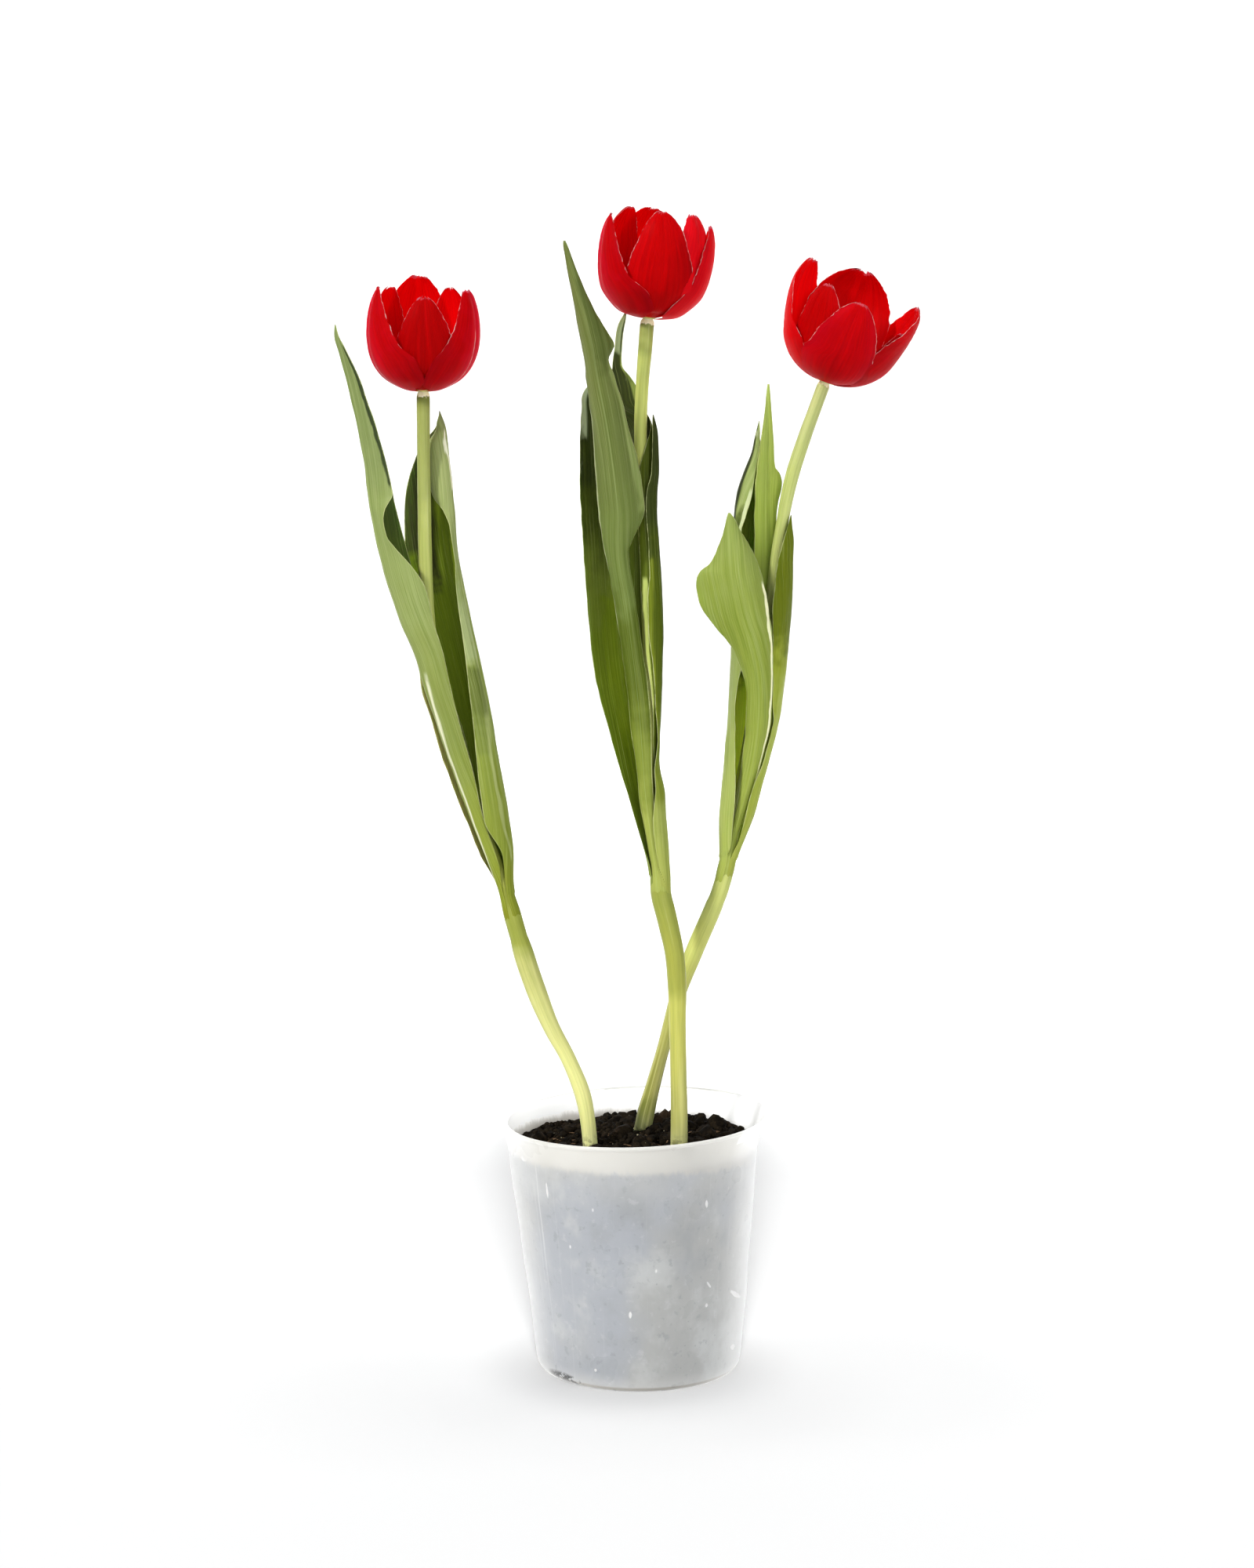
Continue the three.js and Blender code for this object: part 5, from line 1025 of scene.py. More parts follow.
def hug(G, key, along, length, layer):
    """Draws the foot of a leaf onto the skin of its stem."""
    axis, girth = stem_line(key)
    out = G.copy()
    rows = np.nonzero(along[:, 0] < 40)[0]
    for i in rows:
        d = along[i, 0]
        for j in range(G.shape[1]):
            q = ((axis - G[i, j]) ** 2).sum(1)
            k = int(q.argmin())
            v = G[i, j] - axis[k]
            own = math.sqrt(q[k])
            skin = girth[k] - 0.14 + 0.26 * float(fade(d, 0.0, 7.0)) + (0.10 + 0.45 * layer) * float(fade(d, 3.0, 26.0))
            f = float(fade(d, 4.0, 34.0))
            f = f + (1 - f) * (0.5 if own > skin + 1.2 else 0.0) * float(fade(d, 0.0, 12.0))
            out[i, j] = axis[k] + v / max(own, 1e-6) * (skin + (max(own, skin) - skin) * f if own > skin else skin + (own - skin) * f)
    return out


def build_leaf(name, rows, material, seed, wave=0.5, nt=200, nu=34):
    ts = np.linspace(0, 1, nt + 1) ** 0.97
    raw = np.linspace(-1, 1, nu + 1)
    us = np.sign(raw) * (1 - (1 - np.abs(raw)) ** 1.25)
    G, across, edge, w, length = leaf_grid(rows, ts, us)
    # the fold at the rib is a soft one
    for _ in range(3):
        H = G.copy()
        H[:, 1:-1] = 0.25 * G[:, :-2] + 0.5 * G[:, 1:-1] + 0.25 * G[:, 2:]
        near = np.exp(-((us / 0.16) ** 2))[None, :, None]
        G = G * (1 - near) + H * near
    T = ts[:, None]
    U = us[None, :] + 0 * T
    wide = np.clip(w / 8.0, 0, 1)
    along = T * length
    layer = {"leaf_a2": 1, "leaf_b2": 1, "leaf_b4": 1, "leaf_c3": 1, "leaf_c4": 1}.get(name[:7], 0)
    G = hug(G, name[5], along + 0 * U, length, layer)
    N = normals_of(G)
    # ribs, broad unevenness and a waving edge
    relief = 0.075 * np.cos(across * 2 * math.pi / 1.9 + 0.8 * vnoise(vec(along / 40, U * 2, seed), seed)) * fade(np.abs(across), 0.3, 1.2)
    relief = relief + 0.16 * fbm(vec(along / 9, across / 4.5, seed * 3.1), seed, 3)
    relief = relief * wide * fade(along, 12, 40) * fade(1 - T, 0.0, 0.08)
    ripple = wave * np.abs(U) ** 3 * (0.6 * vnoise(vec(along / 11, np.sign(U) * 3, seed * 1.7), seed + 5) + 0.4 * vnoise(vec(along / 4.5, np.sign(U) * 3, seed * 2.3), seed + 8))
    ripple = ripple * wide * fade(along, 25, 60)
    G = G + N * (relief + ripple)[..., None]
    thick = 0.50 * (1 - 0.78 * fade(np.abs(U), 0.55, 1.0)) * (1 - 0.5 * fade(T, 0.85, 1.0))
    thick = (thick + 0.16 * np.exp(-((U / 0.12) ** 2)) * (1 - T)) * (0.12 + 0.88 * fade(along, 1, 30))
    ob = blade_object(name, G, thick, material, {"u": U, "along": T + 0 * U, "edge": edge, "across": across})
    return ride(ob, "leaf", name[:-5] if name.endswith("_look") else name)


# --------------------------------------------------------------------- stems
def flower_frame(f):
    a = math.radians(f["tilt"])
    W = np.array([math.sin(a), 0, math.cos(a)])
    X = np.cross([0, 1.0, 0], W)
    X /= np.linalg.norm(X)
    Y = np.cross(W, X)
    at = np.array(f["at"], float)
    return W, X, Y, lambda x, y, h: at + np.asarray(x)[..., None] * X + np.asarray(y)[..., None] * Y + np.asarray(h)[..., None] * W


def build_stem(key, material):
    f = FLOWERS[key]
    W, X, Y, place = flower_frame(f)
    rows = [r for r in STEMS["stem_" + key] if np.linalg.norm(np.array(r[:3]) - f["at"]) > 3]
    neck = STEMS["stem_" + key][-1][3]
    for h, r in ((-1.6, neck), (-0.7, 2.4), (2.1, 1.9)):
        rows.append([*place(0.0, 0.0, h), r])
    tab, length = spine(rows)
    nt, na = 340, 30
    ts = np.linspace(0, 1, nt + 1)
    s = tab(ts)
    e = 1.5e-3
    T = tab(np.minimum(1, ts + e))[:, :3] - tab(np.maximum(0, ts - e))[:, :3]
    T /= np.linalg.norm(T, axis=1, keepdims=True)
    T[0] = (0, 0, 1)
    T[-1] = W
    XX = np.cross(np.array([0, 1.0, 0]), T)
    XX /= np.linalg.norm(XX, axis=1, keepdims=True)
    ZZ = np.cross(XX, T)
    a = np.arange(na) * 2 * math.pi / na
    seed = {"a": 3, "b": 11, "c": 23}[key]
    A = a[None, :] + 0 * ts[:, None]
    L = ts[:, None] * length + 0 * A
    ridge = 0.035 * np.cos(9 * A + 0.9 * np.sin(L / 40)) + 0.05 * fbm(vec(np.cos(A) * 1.5, np.sin(A) * 1.5, L / 9), seed, 3)
    swell = 0.10 * vnoise(vec(0 * A, 0 * A + seed, L / 26), seed)
    R = stem_girth(key, s[:, 2], s[:, 3])[:, None] + (ridge + swell) * fade(1 - ts[:, None], 0, 0.02)
    G = s[:, None, :3] + R[..., None] * (np.cos(A)[..., None] * ZZ[:, None, :] + np.sin(A)[..., None] * XX[:, None, :])
    V = G.reshape(-1, 3)
    F = grid_faces(nt + 1, na, wrap=True).tolist()
    V = np.concatenate([V, s[:1, :3], s[-1:, :3]])
    c0, c1 = len(V) - 2, len(V) - 1
    F += [[c0, (j + 1) % na, j] for j in range(na)]
    o = nt * na
    F += [[c1, o + j, o + (j + 1) % na] for j in range(na)]
    att = {"along": np.concatenate([L.ravel() / length, [0, 1]]), "around": np.concatenate([A.ravel(), [0, 0]])}
    att["to_top"] = (1 - att["along"]) * length
    ob = make_object("stem_" + key + "_look", V, F, material, att)
    return ride(ob, "stem", "stem_" + key)


# ------------------------------------------------------------------- flowers
# (side, from, to, how much fuller) along the petal, by flower and petal
FULLER = {
    "a1": [(1, 0.16, 0.44, 0.17)], "a2": [(-1, 0.16, 0.44, 0.17)],
    "b1": [(1, 0.14, 0.42, 0.32)], "b2": [(-1, 0.16, 0.40, 0.10)],
    "c1": [(-1, 0.14, 0.44, 0.45)], "c2": [(1, 0.10, 0.44, 0.30)], "c3": [(-1, 0.40, 0.90, 0.55)],
}


def petal_grid(f, petal, ss, us, seed, tag):
    azimuth, height, width, inset, lean, cup, spiral, blunt, skew = petal
    W, X, Y, place = flower_frame(f)
    wall = np.array(f["wall"], float)
    rows = wall.copy()
    if inset:
        q = np.concatenate([wall[1:], wall[-1:]])
        p = np.concatenate([wall[:1], wall[:-1]])
        n = np.stack([q[:, 1] - p[:, 1], p[:, 0] - q[:, 0]], 1)
        n /= np.linalg.norm(n, axis=1, keepdims=True)
        rows = wall - inset * n
        rows[0] = [2.4, wall[0][1]]
    t = np.concatenate([[0], np.cumsum(np.linalg.norm(np.diff(rows, axis=0), axis=1))])
    line = Table(t, rows, 2)
    lo, hi = 0.0, t[-1]
    for _ in range(40):
        m = (lo + hi) / 2
        if line(m)[1] < height:
            lo = m
        else:
            hi = m
    outline = Table([r[0] for r in PETAL_OUTLINE], [[r[1]] for r in PETAL_OUTLINE], 0)
    S = ss[:, None] + 0 * us[None, :]
    U = us[None, :] + 0 * S
    # the torn tip: some lengthwise strips stop a little short
    notch = 0.017 * np.abs(vnoise(vec(U * 5.3, 0 * U, 0 * U + seed), seed)) + 0.016 * np.abs(vnoise(vec(U * 15, 0 * U, 0 * U + seed), seed + 1)) + 0.009 * np.abs(vnoise(vec(U * 37, 0 * U, 0 * U + seed), seed + 9))
    q = 1 - (1 - np.clip(S, 0, 1) ** 1.2) ** 1.25
    q = q * (1 - notch * fade(S, 0.78, 1.0))
    P = line(q * lo)
    r, h = P[..., 0], P[..., 1]
    w = width * outline(np.where(q < 0.44, q, 0.44 + 0.56 * (np.maximum(0, q - 0.44) / 0.56) ** (1 + blunt)))[..., 0]
    # some petals are fuller on one side, where they wrap over their neighbour
    grown = 0 * w
    for side_sign, q0, q1, gain in FULLER.get(tag, ()):
        grown = grown + gain * fade(q, q0 - 0.12, q0 + 0.02) * (1 - fade(q, q1 - 0.02, q1 + 0.12)) * (U * side_sign > 0)
    w = w * (1 + grown)
    # the side edges are a little torn as well
    side = np.where(U < 0, -1.0, 1.0)
    tear = 1 + (0.026 * vnoise(vec(S * 22, side * 4, 0 * U + seed), seed + 2) + 0.024 * vnoise(vec(S * 60, side * 4, 0 * U + seed), seed + 3)) * fade(S, 0.3, 0.7) * np.abs(U) ** 4
    w = w * tear
    r = r + lean * np.maximum(0, (q - 0.25) / 0.75) ** 1.6
    if inset:
        # low down the inner petals lie close against the outer ones
        r = r + (inset - 1.15) * (1 - fade(q, 0.34, 0.64)) * fade(q, 0.0, 0.08)
    middle = np.radians(azimuth + skew * np.maximum(0, (q - 0.2) / 0.8) ** 2)
    rr = r - cup * U * U * np.minimum(1, q * 3) + spiral * U * fade(q, 0.30, 0.60)
    limit = 39 + 24 * np.minimum(1, 8 * grown) + 125 * np.maximum(0, q - 0.1)
    reach = np.minimum(w / np.maximum(r, 2.2), np.radians(limit))
    ang = middle + U * reach
    G = place(rr * np.sin(ang), -rr * np.cos(ang), h)
    return G, U, S, w, lo


def build_petal(key, i, material):
    f = FLOWERS[key]
    petal = f["petals"][i]
    seed = {"a": 100, "b": 200, "c": 300}[key] + 7 * i
    ns, nu = 78, 48
    ss = np.linspace(0, 1, ns + 1)
    raw = np.linspace(-1, 1, nu + 1)
    us = np.sign(raw) * (1 - (1 - np.abs(raw)) ** 1.3)
    G, U, S, w, length = petal_grid(f, petal, ss, us, seed, key + str(i + 1))
    N = normals_of(G)
    inner_layer = petal[3] > 0
    across = U * w
    edge = np.minimum(w * (1 - np.abs(U)), (1 - S) * length * 0.9)
    mid = -0.34 * np.exp(-((across / 1.5) ** 2)) * fade(S, 0.15, 0.5) * (1 - 0.4 * fade(S, 0.8, 1.0))
    shoulder = 0.16 * np.exp(-(((np.abs(across) - 3.6) / 1.8) ** 2)) * fade(S, 0.2, 0.6)
    pleat = 0.045 * np.cos(across * 2 * math.pi / 1.35 + 1.4 * vnoise(vec(S * 4, U * 2, 0 * U + seed), seed)) * fade(S, 0.1, 0.4) * fade(np.abs(across), 0.8, 2.0)
    swell = 0.22 * fbm(vec(U * 1.4, S * 2.6, 0 * U + seed), seed + 4, 2) * fade(S, 0.2, 0.5) * fade(1 - S, 0.0, 0.15)
    ruffle = np.abs(U) ** 5 * fade(S, 0.35, 0.7) * (0.34 * vnoise(vec(S * 9, np.sign(U) * 3, 0 * U + seed), seed + 5) + 0.18 * vnoise(vec(S * 24, np.sign(U) * 3, 0 * U + seed), seed + 6))
    tip = 0.35 * fade(S, 0.90, 1.0) * vnoise(vec(U * 3.1, 0 * U, 0 * U + seed), seed + 7)
    k = 0.55 if inner_layer else 1.0
    G = G + N * (mid + shoulder + pleat + k * swell + k * ruffle + tip)[..., None]
    thick = 0.46 * (1 - 0.72 * fade(np.abs(U), 0.6, 1.0)) * (1 - 0.55 * fade(S, 0.8, 1.0)) * (0.6 + 0.4 * fade(S, 0.0, 0.06))
    ob = blade_object(f"petal_{key}{i + 1}_look", G, thick, material, {"u": U, "along": S, "edge": edge, "across": across})
    return ride(ob, "petal", f"petal_{key}{i + 1}")


def smooth_profile(points, steps):
    P = np.asarray(points, float)
    t = np.concatenate([[0], np.cumsum(np.linalg.norm(np.diff(P, axis=0), axis=1))])
    tab = Table(t, P, 0)
    out = tab(np.linspace(0, t[-1], steps))
    out[0, 0] = out[-1, 0] = 0
    return out


def build_heart(key, pistil_material, stamen_material):
    f = FLOWERS[key]
    W, X, Y, place = flower_frame(f)
    seed = {"a": 5, "b": 6, "c": 7}[key]
    V, F = turned(smooth_profile([[0, 2.5], [1.5, 2.5], [2.2, 5], [2.5, 11], [2.2, 18], [1.7, 21], [3.6, 22], [4.1, 23.2], [3.2, 24.4], [0, 23.2]], 64), 36)
    a = np.arctan2(V[:, 1], V[:, 0])
    top = fade(V[:, 2], 20.5, 22.5)
    k = 1 + 0.05 * np.cos(3 * a) * (1 - top) + 0.17 * np.cos(3 * a) * top + 0.02 * vnoise(V * 1.1, seed)
    crest = top * (0.7 * np.cos(3 * a) - 0.25) * fade(np.hypot(V[:, 0], V[:, 1]), 0.6, 3.0) * 0.5
    V = place(V[:, 0] * k, V[:, 1] * k, V[:, 2] + np.minimum(crest, 0.4))
    ob = make_object(f"pistil_{key}_look", V, F, pistil_material)
    ride(ob, "pistil", f"pistil_{key}")
    for i in range(6):
        a = math.radians(15 + 60 * i)
        V, F = turned(smooth_profile([[0, 0], [0.75, 0], [0.55, 9], [1.0, 11.2], [1.4, 14], [1.35, 19], [0.9, 22], [0, 22.8]], 60), 20)
        b = np.arctan2(V[:, 1], V[:, 0])
        anther = fade(V[:, 2], 9.5, 12)
        k = 1 + anther * (-0.16 * np.abs(np.cos(b)) ** 6 + 0.05 * fbm(V * 2.5 + 9 * i, seed, 2)) + 0.02 * np.cos(5 * b) * (1 - anther)
        x, y, z = V[:, 0] * k, V[:, 1] * k, V[:, 2]
        x, y = x * math.cos(a) - y * math.sin(a), x * math.sin(a) + y * math.cos(a)
        # leans outwards by 0.12 rad
        c, s = math.cos(0.12), math.sin(0.12)
        radial = x * math.cos(a) + y * math.sin(a)
        tang = -x * math.sin(a) + y * math.cos(a)
        radial, z = radial * c + z * s, -radial * s + z * c
        x, y = radial * math.cos(a) - tang * math.sin(a), radial * math.sin(a) + tang * math.cos(a)
        P = place(x + 4.2 * math.cos(a), y + 4.2 * math.sin(a), z + 4.3)
        ob = make_object(f"stamen_{key}{i + 1}_look", P, F, stamen_material, {"anther": anther})
        ride(ob, "stamen", f"stamen_{key}{i + 1}")


# ----------------------------------------------------------------- pot, soil
POT_HEIGHT, POT_WALL, RIM_TILT = 116.3, 1.25, 2.2
WALL_CURVE = [
    [5, 46.96, 1.0], [14, 47.83, 0.9], [32.6, 49.73, 0.7], [51.1, 51.63, -0.2], [67.8, 53.35, -0.6],
    [88, 55.58, -1.5], [100.9, 56.77, -1.7], [105.7, 57.46, -1.7], [110.1, 58.33, -1.2], [114.4, 59.35, -0.4],
]
OFFSET = Table([0] + [r[0] for r in WALL_CURVE] + [POT_HEIGHT, POT_HEIGHT + 5], [[1.0]] + [[r[2]] for r in WALL_CURVE] + [[0], [0]], 0)
RADIUS = Table([r[0] for r in WALL_CURVE], [[r[1]] for r in WALL_CURVE], 0)


def settle(V):
    V = np.array(V, float)
    x, y, z = V[..., 0].copy(), V[..., 1], V[..., 2].copy()
    k = fade(z, 84, 116)
    V[..., 0] = x + OFFSET(np.maximum(0, z))[..., 0]
    V[..., 2] = z + RIM_TILT * x * k / 60
    return V


def build_pot(material):
    H = POT_HEIGHT
    outer = [[0, 0], [20, 0.0], [38, 0.0], [43, 0], [44.4, 0.35], [45.3, 1.2], [46.0, 2.0], [46.5, 3.0]]
    zs = np.linspace(5, 114.4, 76)
    outer += [[float(RADIUS(z)[0]), float(z)] for z in zs]
    rim = [[59.72, H - 1.6], [60.05, H - 1.3], [60.22, H - 0.95], [60.25, H - 0.6], [60.15, H - 0.3], [59.95, H - 0.1], [59.65, H], [59.3, H], [58.98, H - 0.15], [58.75, H - 0.4], [58.58, H - 0.9], [58.45, H - 1.6]]
    inner = [[float(RADIUS(z)[0]) - POT_WALL, float(z)] for z in np.linspace(113.6, 14, 62)]
    floor = [[45.65, 5.6], [45.35, 4.3], [44.9, 3.2], [44.2, 2.3], [43.2, 1.8], [41.5, 1.4], [38, 1.4], [20, 1.4], [0, 1.4]]
    profile = outer + rim + inner + floor
    sides = 176
    V, F = turned(profile, sides)
    r = np.hypot(V[:, 0], V[:, 1])
    a = np.arctan2(V[:, 1], V[:, 0])
    z = V[:, 2]
    # thin pressed plastic: slight waves round the wall and along the rim
    wave = 0.10 * vnoise(vec(np.cos(a) * 2.2, np.sin(a) * 2.2, z / 26), 31) + 0.05 * vnoise(vec(np.cos(a) * 7, np.sin(a) * 7, z / 11), 33)
    wave = wave * fade(z, 4, 12) * fade(r, 40, 44)
    k = 1 + wave / np.maximum(r, 1)
    lift = 0.10 * vnoise(vec(np.cos(a) * 2.7, np.sin(a) * 2.7, 0 * a + 4), 37) * fade(z, 108, 116)
    V[:, 0] *= k
    V[:, 1] *= k
    V[:, 2] = z + lift
    ob = make_object("pot_look", settle(V), F, None)
    # drain holes
    cut_v, cut_f = [], []
    for i in range(6):
        b = math.radians(-104 + 60 * i)
        m = 40
        c = np.arange(m) * 2 * math.pi / m
        ring = np.stack([1 + 36 * math.cos(b) + 4.2 * np.cos(c), 36 * math.sin(b) + 4.2 * np.sin(c)], 1)
        base = len(cut_v)
        cut_v += [[*p, -2.0] for p in ring] + [[*p, 4.0] for p in ring]
        cut_f += [[base + j, base + (j + 1) % m, base + m + (j + 1) % m, base + m + j] for j in range(m)]
        cut_f += [[base + j for j in range(m)][::-1], [base + m + j for j in range(m)]]
    cutter = make_object("drain_cutter", np.array(cut_v), cut_f, None)
    mod = ob.modifiers.new("drain", "BOOLEAN")
    mod.object, mod.operation, mod.solver = cutter, "DIFFERENCE", "EXACT"
    bpy.context.view_layer.update()
    me = bpy.data.meshes.new_from_object(ob.evaluated_get(bpy.context.evaluated_depsgraph_get()))
    ob.modifiers.clear()
    ob.data = me
    bpy.data.objects.remove(cutter)
    co = np.zeros(len(me.vertices) * 3)
    me.vertices.foreach_get("co", co)
    co = co.reshape(-1, 3) * 1000
    rr = np.hypot(co[:, 0] - OFFSET(np.maximum(0, co[:, 2]))[:, 0], co[:, 1])
    wall = RADIUS(np.clip(co[:, 2], 5, 114.4))[:, 0]
    is_outer = ((rr > wall - 0.62) | (co[:, 2] < 0.7)).astype(np.float32)
    at = me.attributes.new("outer", "FLOAT", "POINT")
    at.data.foreach_set("value", is_outer)
    me.materials.clear()
    me.materials.append(material)
    me.polygons.foreach_set("use_smooth", np.ones(len(me.polygons), bool))
    me.set_sharp_from_angle(angle=math.radians(50))
    return ride(ob, "pot", "pot")


def soil_height(x, y):
    r = np.hypot(x, y)
    z = 103.6 + 4.6 * (0.5 + 0.5 * np.cos(np.pi * np.minimum(r, 54) / 52))
    k = np.clip((54 - r) / 6, 0.25, 1)
    z = z + k * (1.7 * vnoise(vec(x / 9 + 7, y / 9 - 3, 0 * x), 5) + 0.95 * vnoise(vec(x / 4.2, y / 4.2, 0 * x), 11))
    z = z + 0.55 * vnoise(vec(x / 1.9, y / 1.9, 0 * x), 12) + 0.30 * vnoise(vec(x / 0.9, y / 0.9, 0 * x), 13)
    return z


def build_soil(material):
    R = lambda z: float(RADIUS(z)[0]) - POT_WALL - 0.3
    body = [[0, 1.75], [20, 1.75], [41, 1.75], [42.9, 2.35], [44.5, 3.9], [R(8) - 0.3, 8]]
    for z in np.linspace(12, 101, 40):
        body.append([R(z), float(z)])
    top = R(103.3)
    rings = np.concatenate([np.linspace(top - 0.2, 2.0, 96), [0.0]])
    sides = 300
    profile = body + [[float(r), 103.4] for r in rings]
    V, F = turned(profile, sides)
    n_body = len(body)
    r = np.hypot(V[:, 0], V[:, 1])
    surface = V[:, 2] > 103.2
    z = soil_height(V[:, 0], V[:, 1])
    V[surface, 2] = z[surface]
    # lumps pressed against the wall of the pot
    side = (~surface) & (V[:, 2] > 9)
    a = np.arctan2(V[:, 1], V[:, 0])
    lump = -0.5 * np.abs(fbm(vec(np.cos(a) * 12, np.sin(a) * 12, V[:, 2] / 4), 19, 3))
    k = np.where(side, 1 + lump / np.maximum(r, 1), 1)
    V[:, 0] *= k
    V[:, 1] *= k
    ob = make_object("soil_look", settle(V), F, material)
    return ride(ob, "soil", "soil")


def icosphere():
    g = (1 + 5**0.5) / 2
    v = [(-1, g, 0), (1, g, 0), (-1, -g, 0), (1, -g, 0), (0, -1, g), (0, 1, g), (0, -1, -g), (0, 1, -g), (g, 0, -1), (g, 0, 1), (-g, 0, -1), (-g, 0, 1)]
    f = [(0, 11, 5), (0, 5, 1), (0, 1, 7), (0, 7, 10), (0, 10, 11), (1, 5, 9), (5, 11, 4), (11, 10, 2), (10, 7, 6), (7, 1, 8), (3, 9, 4), (3, 4, 2), (3, 2, 6), (3, 6, 8), (3, 8, 9), (4, 9, 5), (2, 4, 11), (6, 2, 10), (8, 6, 7), (9, 8, 1)]
    v = [np.array(p) / np.linalg.norm(p) for p in v]
    mid, out = {}, []

    def half(a, b):
        k = (min(a, b), max(a, b))
        if k not in mid:
            p = v[a] + v[b]
            v.append(p / np.linalg.norm(p))
            mid[k] = len(v) - 1
        return mid[k]

    for a, b, c in f:
        ab, bc, ca = half(a, b), half(b, c), half(c, a)
        out += [(a, ab, ca), (b, bc, ab), (c, ca, bc), (ab, bc, ca)]
    return np.array(v), np.array(out)


def build_crumbs(name, material, rng, count, sizes, sink, flat=1.0, where=None, long=1.0, spread=54.0):
    """Loose lumps on the soil, all in one piece."""
    base_v, base_f = icosphere()
    VV, FF, off = [], [], 0
    placed = 0
    while placed < count:
        x, y = rng.uniform(-spread, spread, 2)
        if math.hypot(x, y) > spread - 0.5:
            continue
        if where is not None and not where(x, y, rng):
            continue
        clear = min(math.hypot(x - sx, y - sy) - sr for sx, sy, sr in STEM_FEET)
        size = sizes[0] * (sizes[1] / sizes[0]) ** rng.random() ** 1.8
        if clear < size * 0.7:
            continue
        room = 56.2 - 0.4 - math.hypot(x, y)
        size = min(size, max(0.3, room * 0.9))
        s = np.array([size * rng.uniform(0.75, 1.25) * long, size * rng.uniform(0.75, 1.25), size * rng.uniform(0.6, 1.0) * flat])
        k = 1 + 0.33 * vnoise(base_v * 1.7 + rng.uniform(0, 90, 3), 41) + 0.16 * vnoise(base_v * 3.9 + rng.uniform(0, 90, 3), 43)
        P = base_v * k[:, None] * s
        q = rng.normal(size=4)
        q /= np.linalg.norm(q)
        if flat < 0.5 or long > 1.5:
            t = rng.uniform(0, 2 * math.pi)
            q = np.array([math.cos(t / 2), rng.normal() * 0.12, rng.normal() * 0.12, math.sin(t / 2)])
            q /= np.linalg.norm(q)
        w, a, b, c = q
        M = np.array([[1 - 2 * (b * b + c * c), 2 * (a * b - c * w), 2 * (a * c + b * w)], [2 * (a * b + c * w), 1 - 2 * (a * a + c * c), 2 * (b * c - a * w)], [2 * (a * c - b * w), 2 * (b * c + a * w), 1 - 2 * (a * a + b * b)]])
        z = float(soil_height(np.array(x), np.array(y)))
        P = P @ M.T + np.array([x, y, z + size * sink])
        VV.append(P)
        FF.append(base_f + off)
        off += len(P)
        placed += 1
    ob = make_object(name, settle(np.concatenate(VV)), np.concatenate(FF), material)
    return ride(ob, "soil")


def build_twig(name, points, r0, r1, material, seed):
    tab, length = spine([[*p, 0] for p in points])
    n, m = 40, 9
    ts = np.linspace(0, 1, n)
    s = tab(ts)[:, :3]
    T = np.gradient(s, axis=0)
    T /= np.linalg.norm(T, axis=1, keepdims=True)
    X = np.cross(T, [0.31, 0.87, 0.11])
    X /= np.linalg.norm(X, axis=1, keepdims=True)
    Y = np.cross(T, X)
    a = np.arange(m) * 2 * math.pi / m
    R = (r0 + (r1 - r0) * ts)[:, None] * (1 + 0.25 * vnoise(vec(np.cos(a)[None, :] + 0 * ts[:, None], np.sin(a)[None, :] + 0 * ts[:, None], ts[:, None] * 14 + 0 * a[None, :]), seed))
    G = s[:, None, :] + R[..., None] * (np.cos(a)[None, :, None] * X[:, None, :] + np.sin(a)[None, :, None] * Y[:, None, :])
    V = np.concatenate([G.reshape(-1, 3), s[:1], s[-1:]])
    F = grid_faces(n, m, wrap=True).tolist()
    c0, c1 = len(V) - 2, len(V) - 1
    F += [[c0, (j + 1) % m, j] for j in range(m)] + [[c1, (n - 1) * m + j, (n - 1) * m + (j + 1) % m] for j in range(m)]
    ob = make_object(name, V, F, material)
    return ride(ob, "soil")


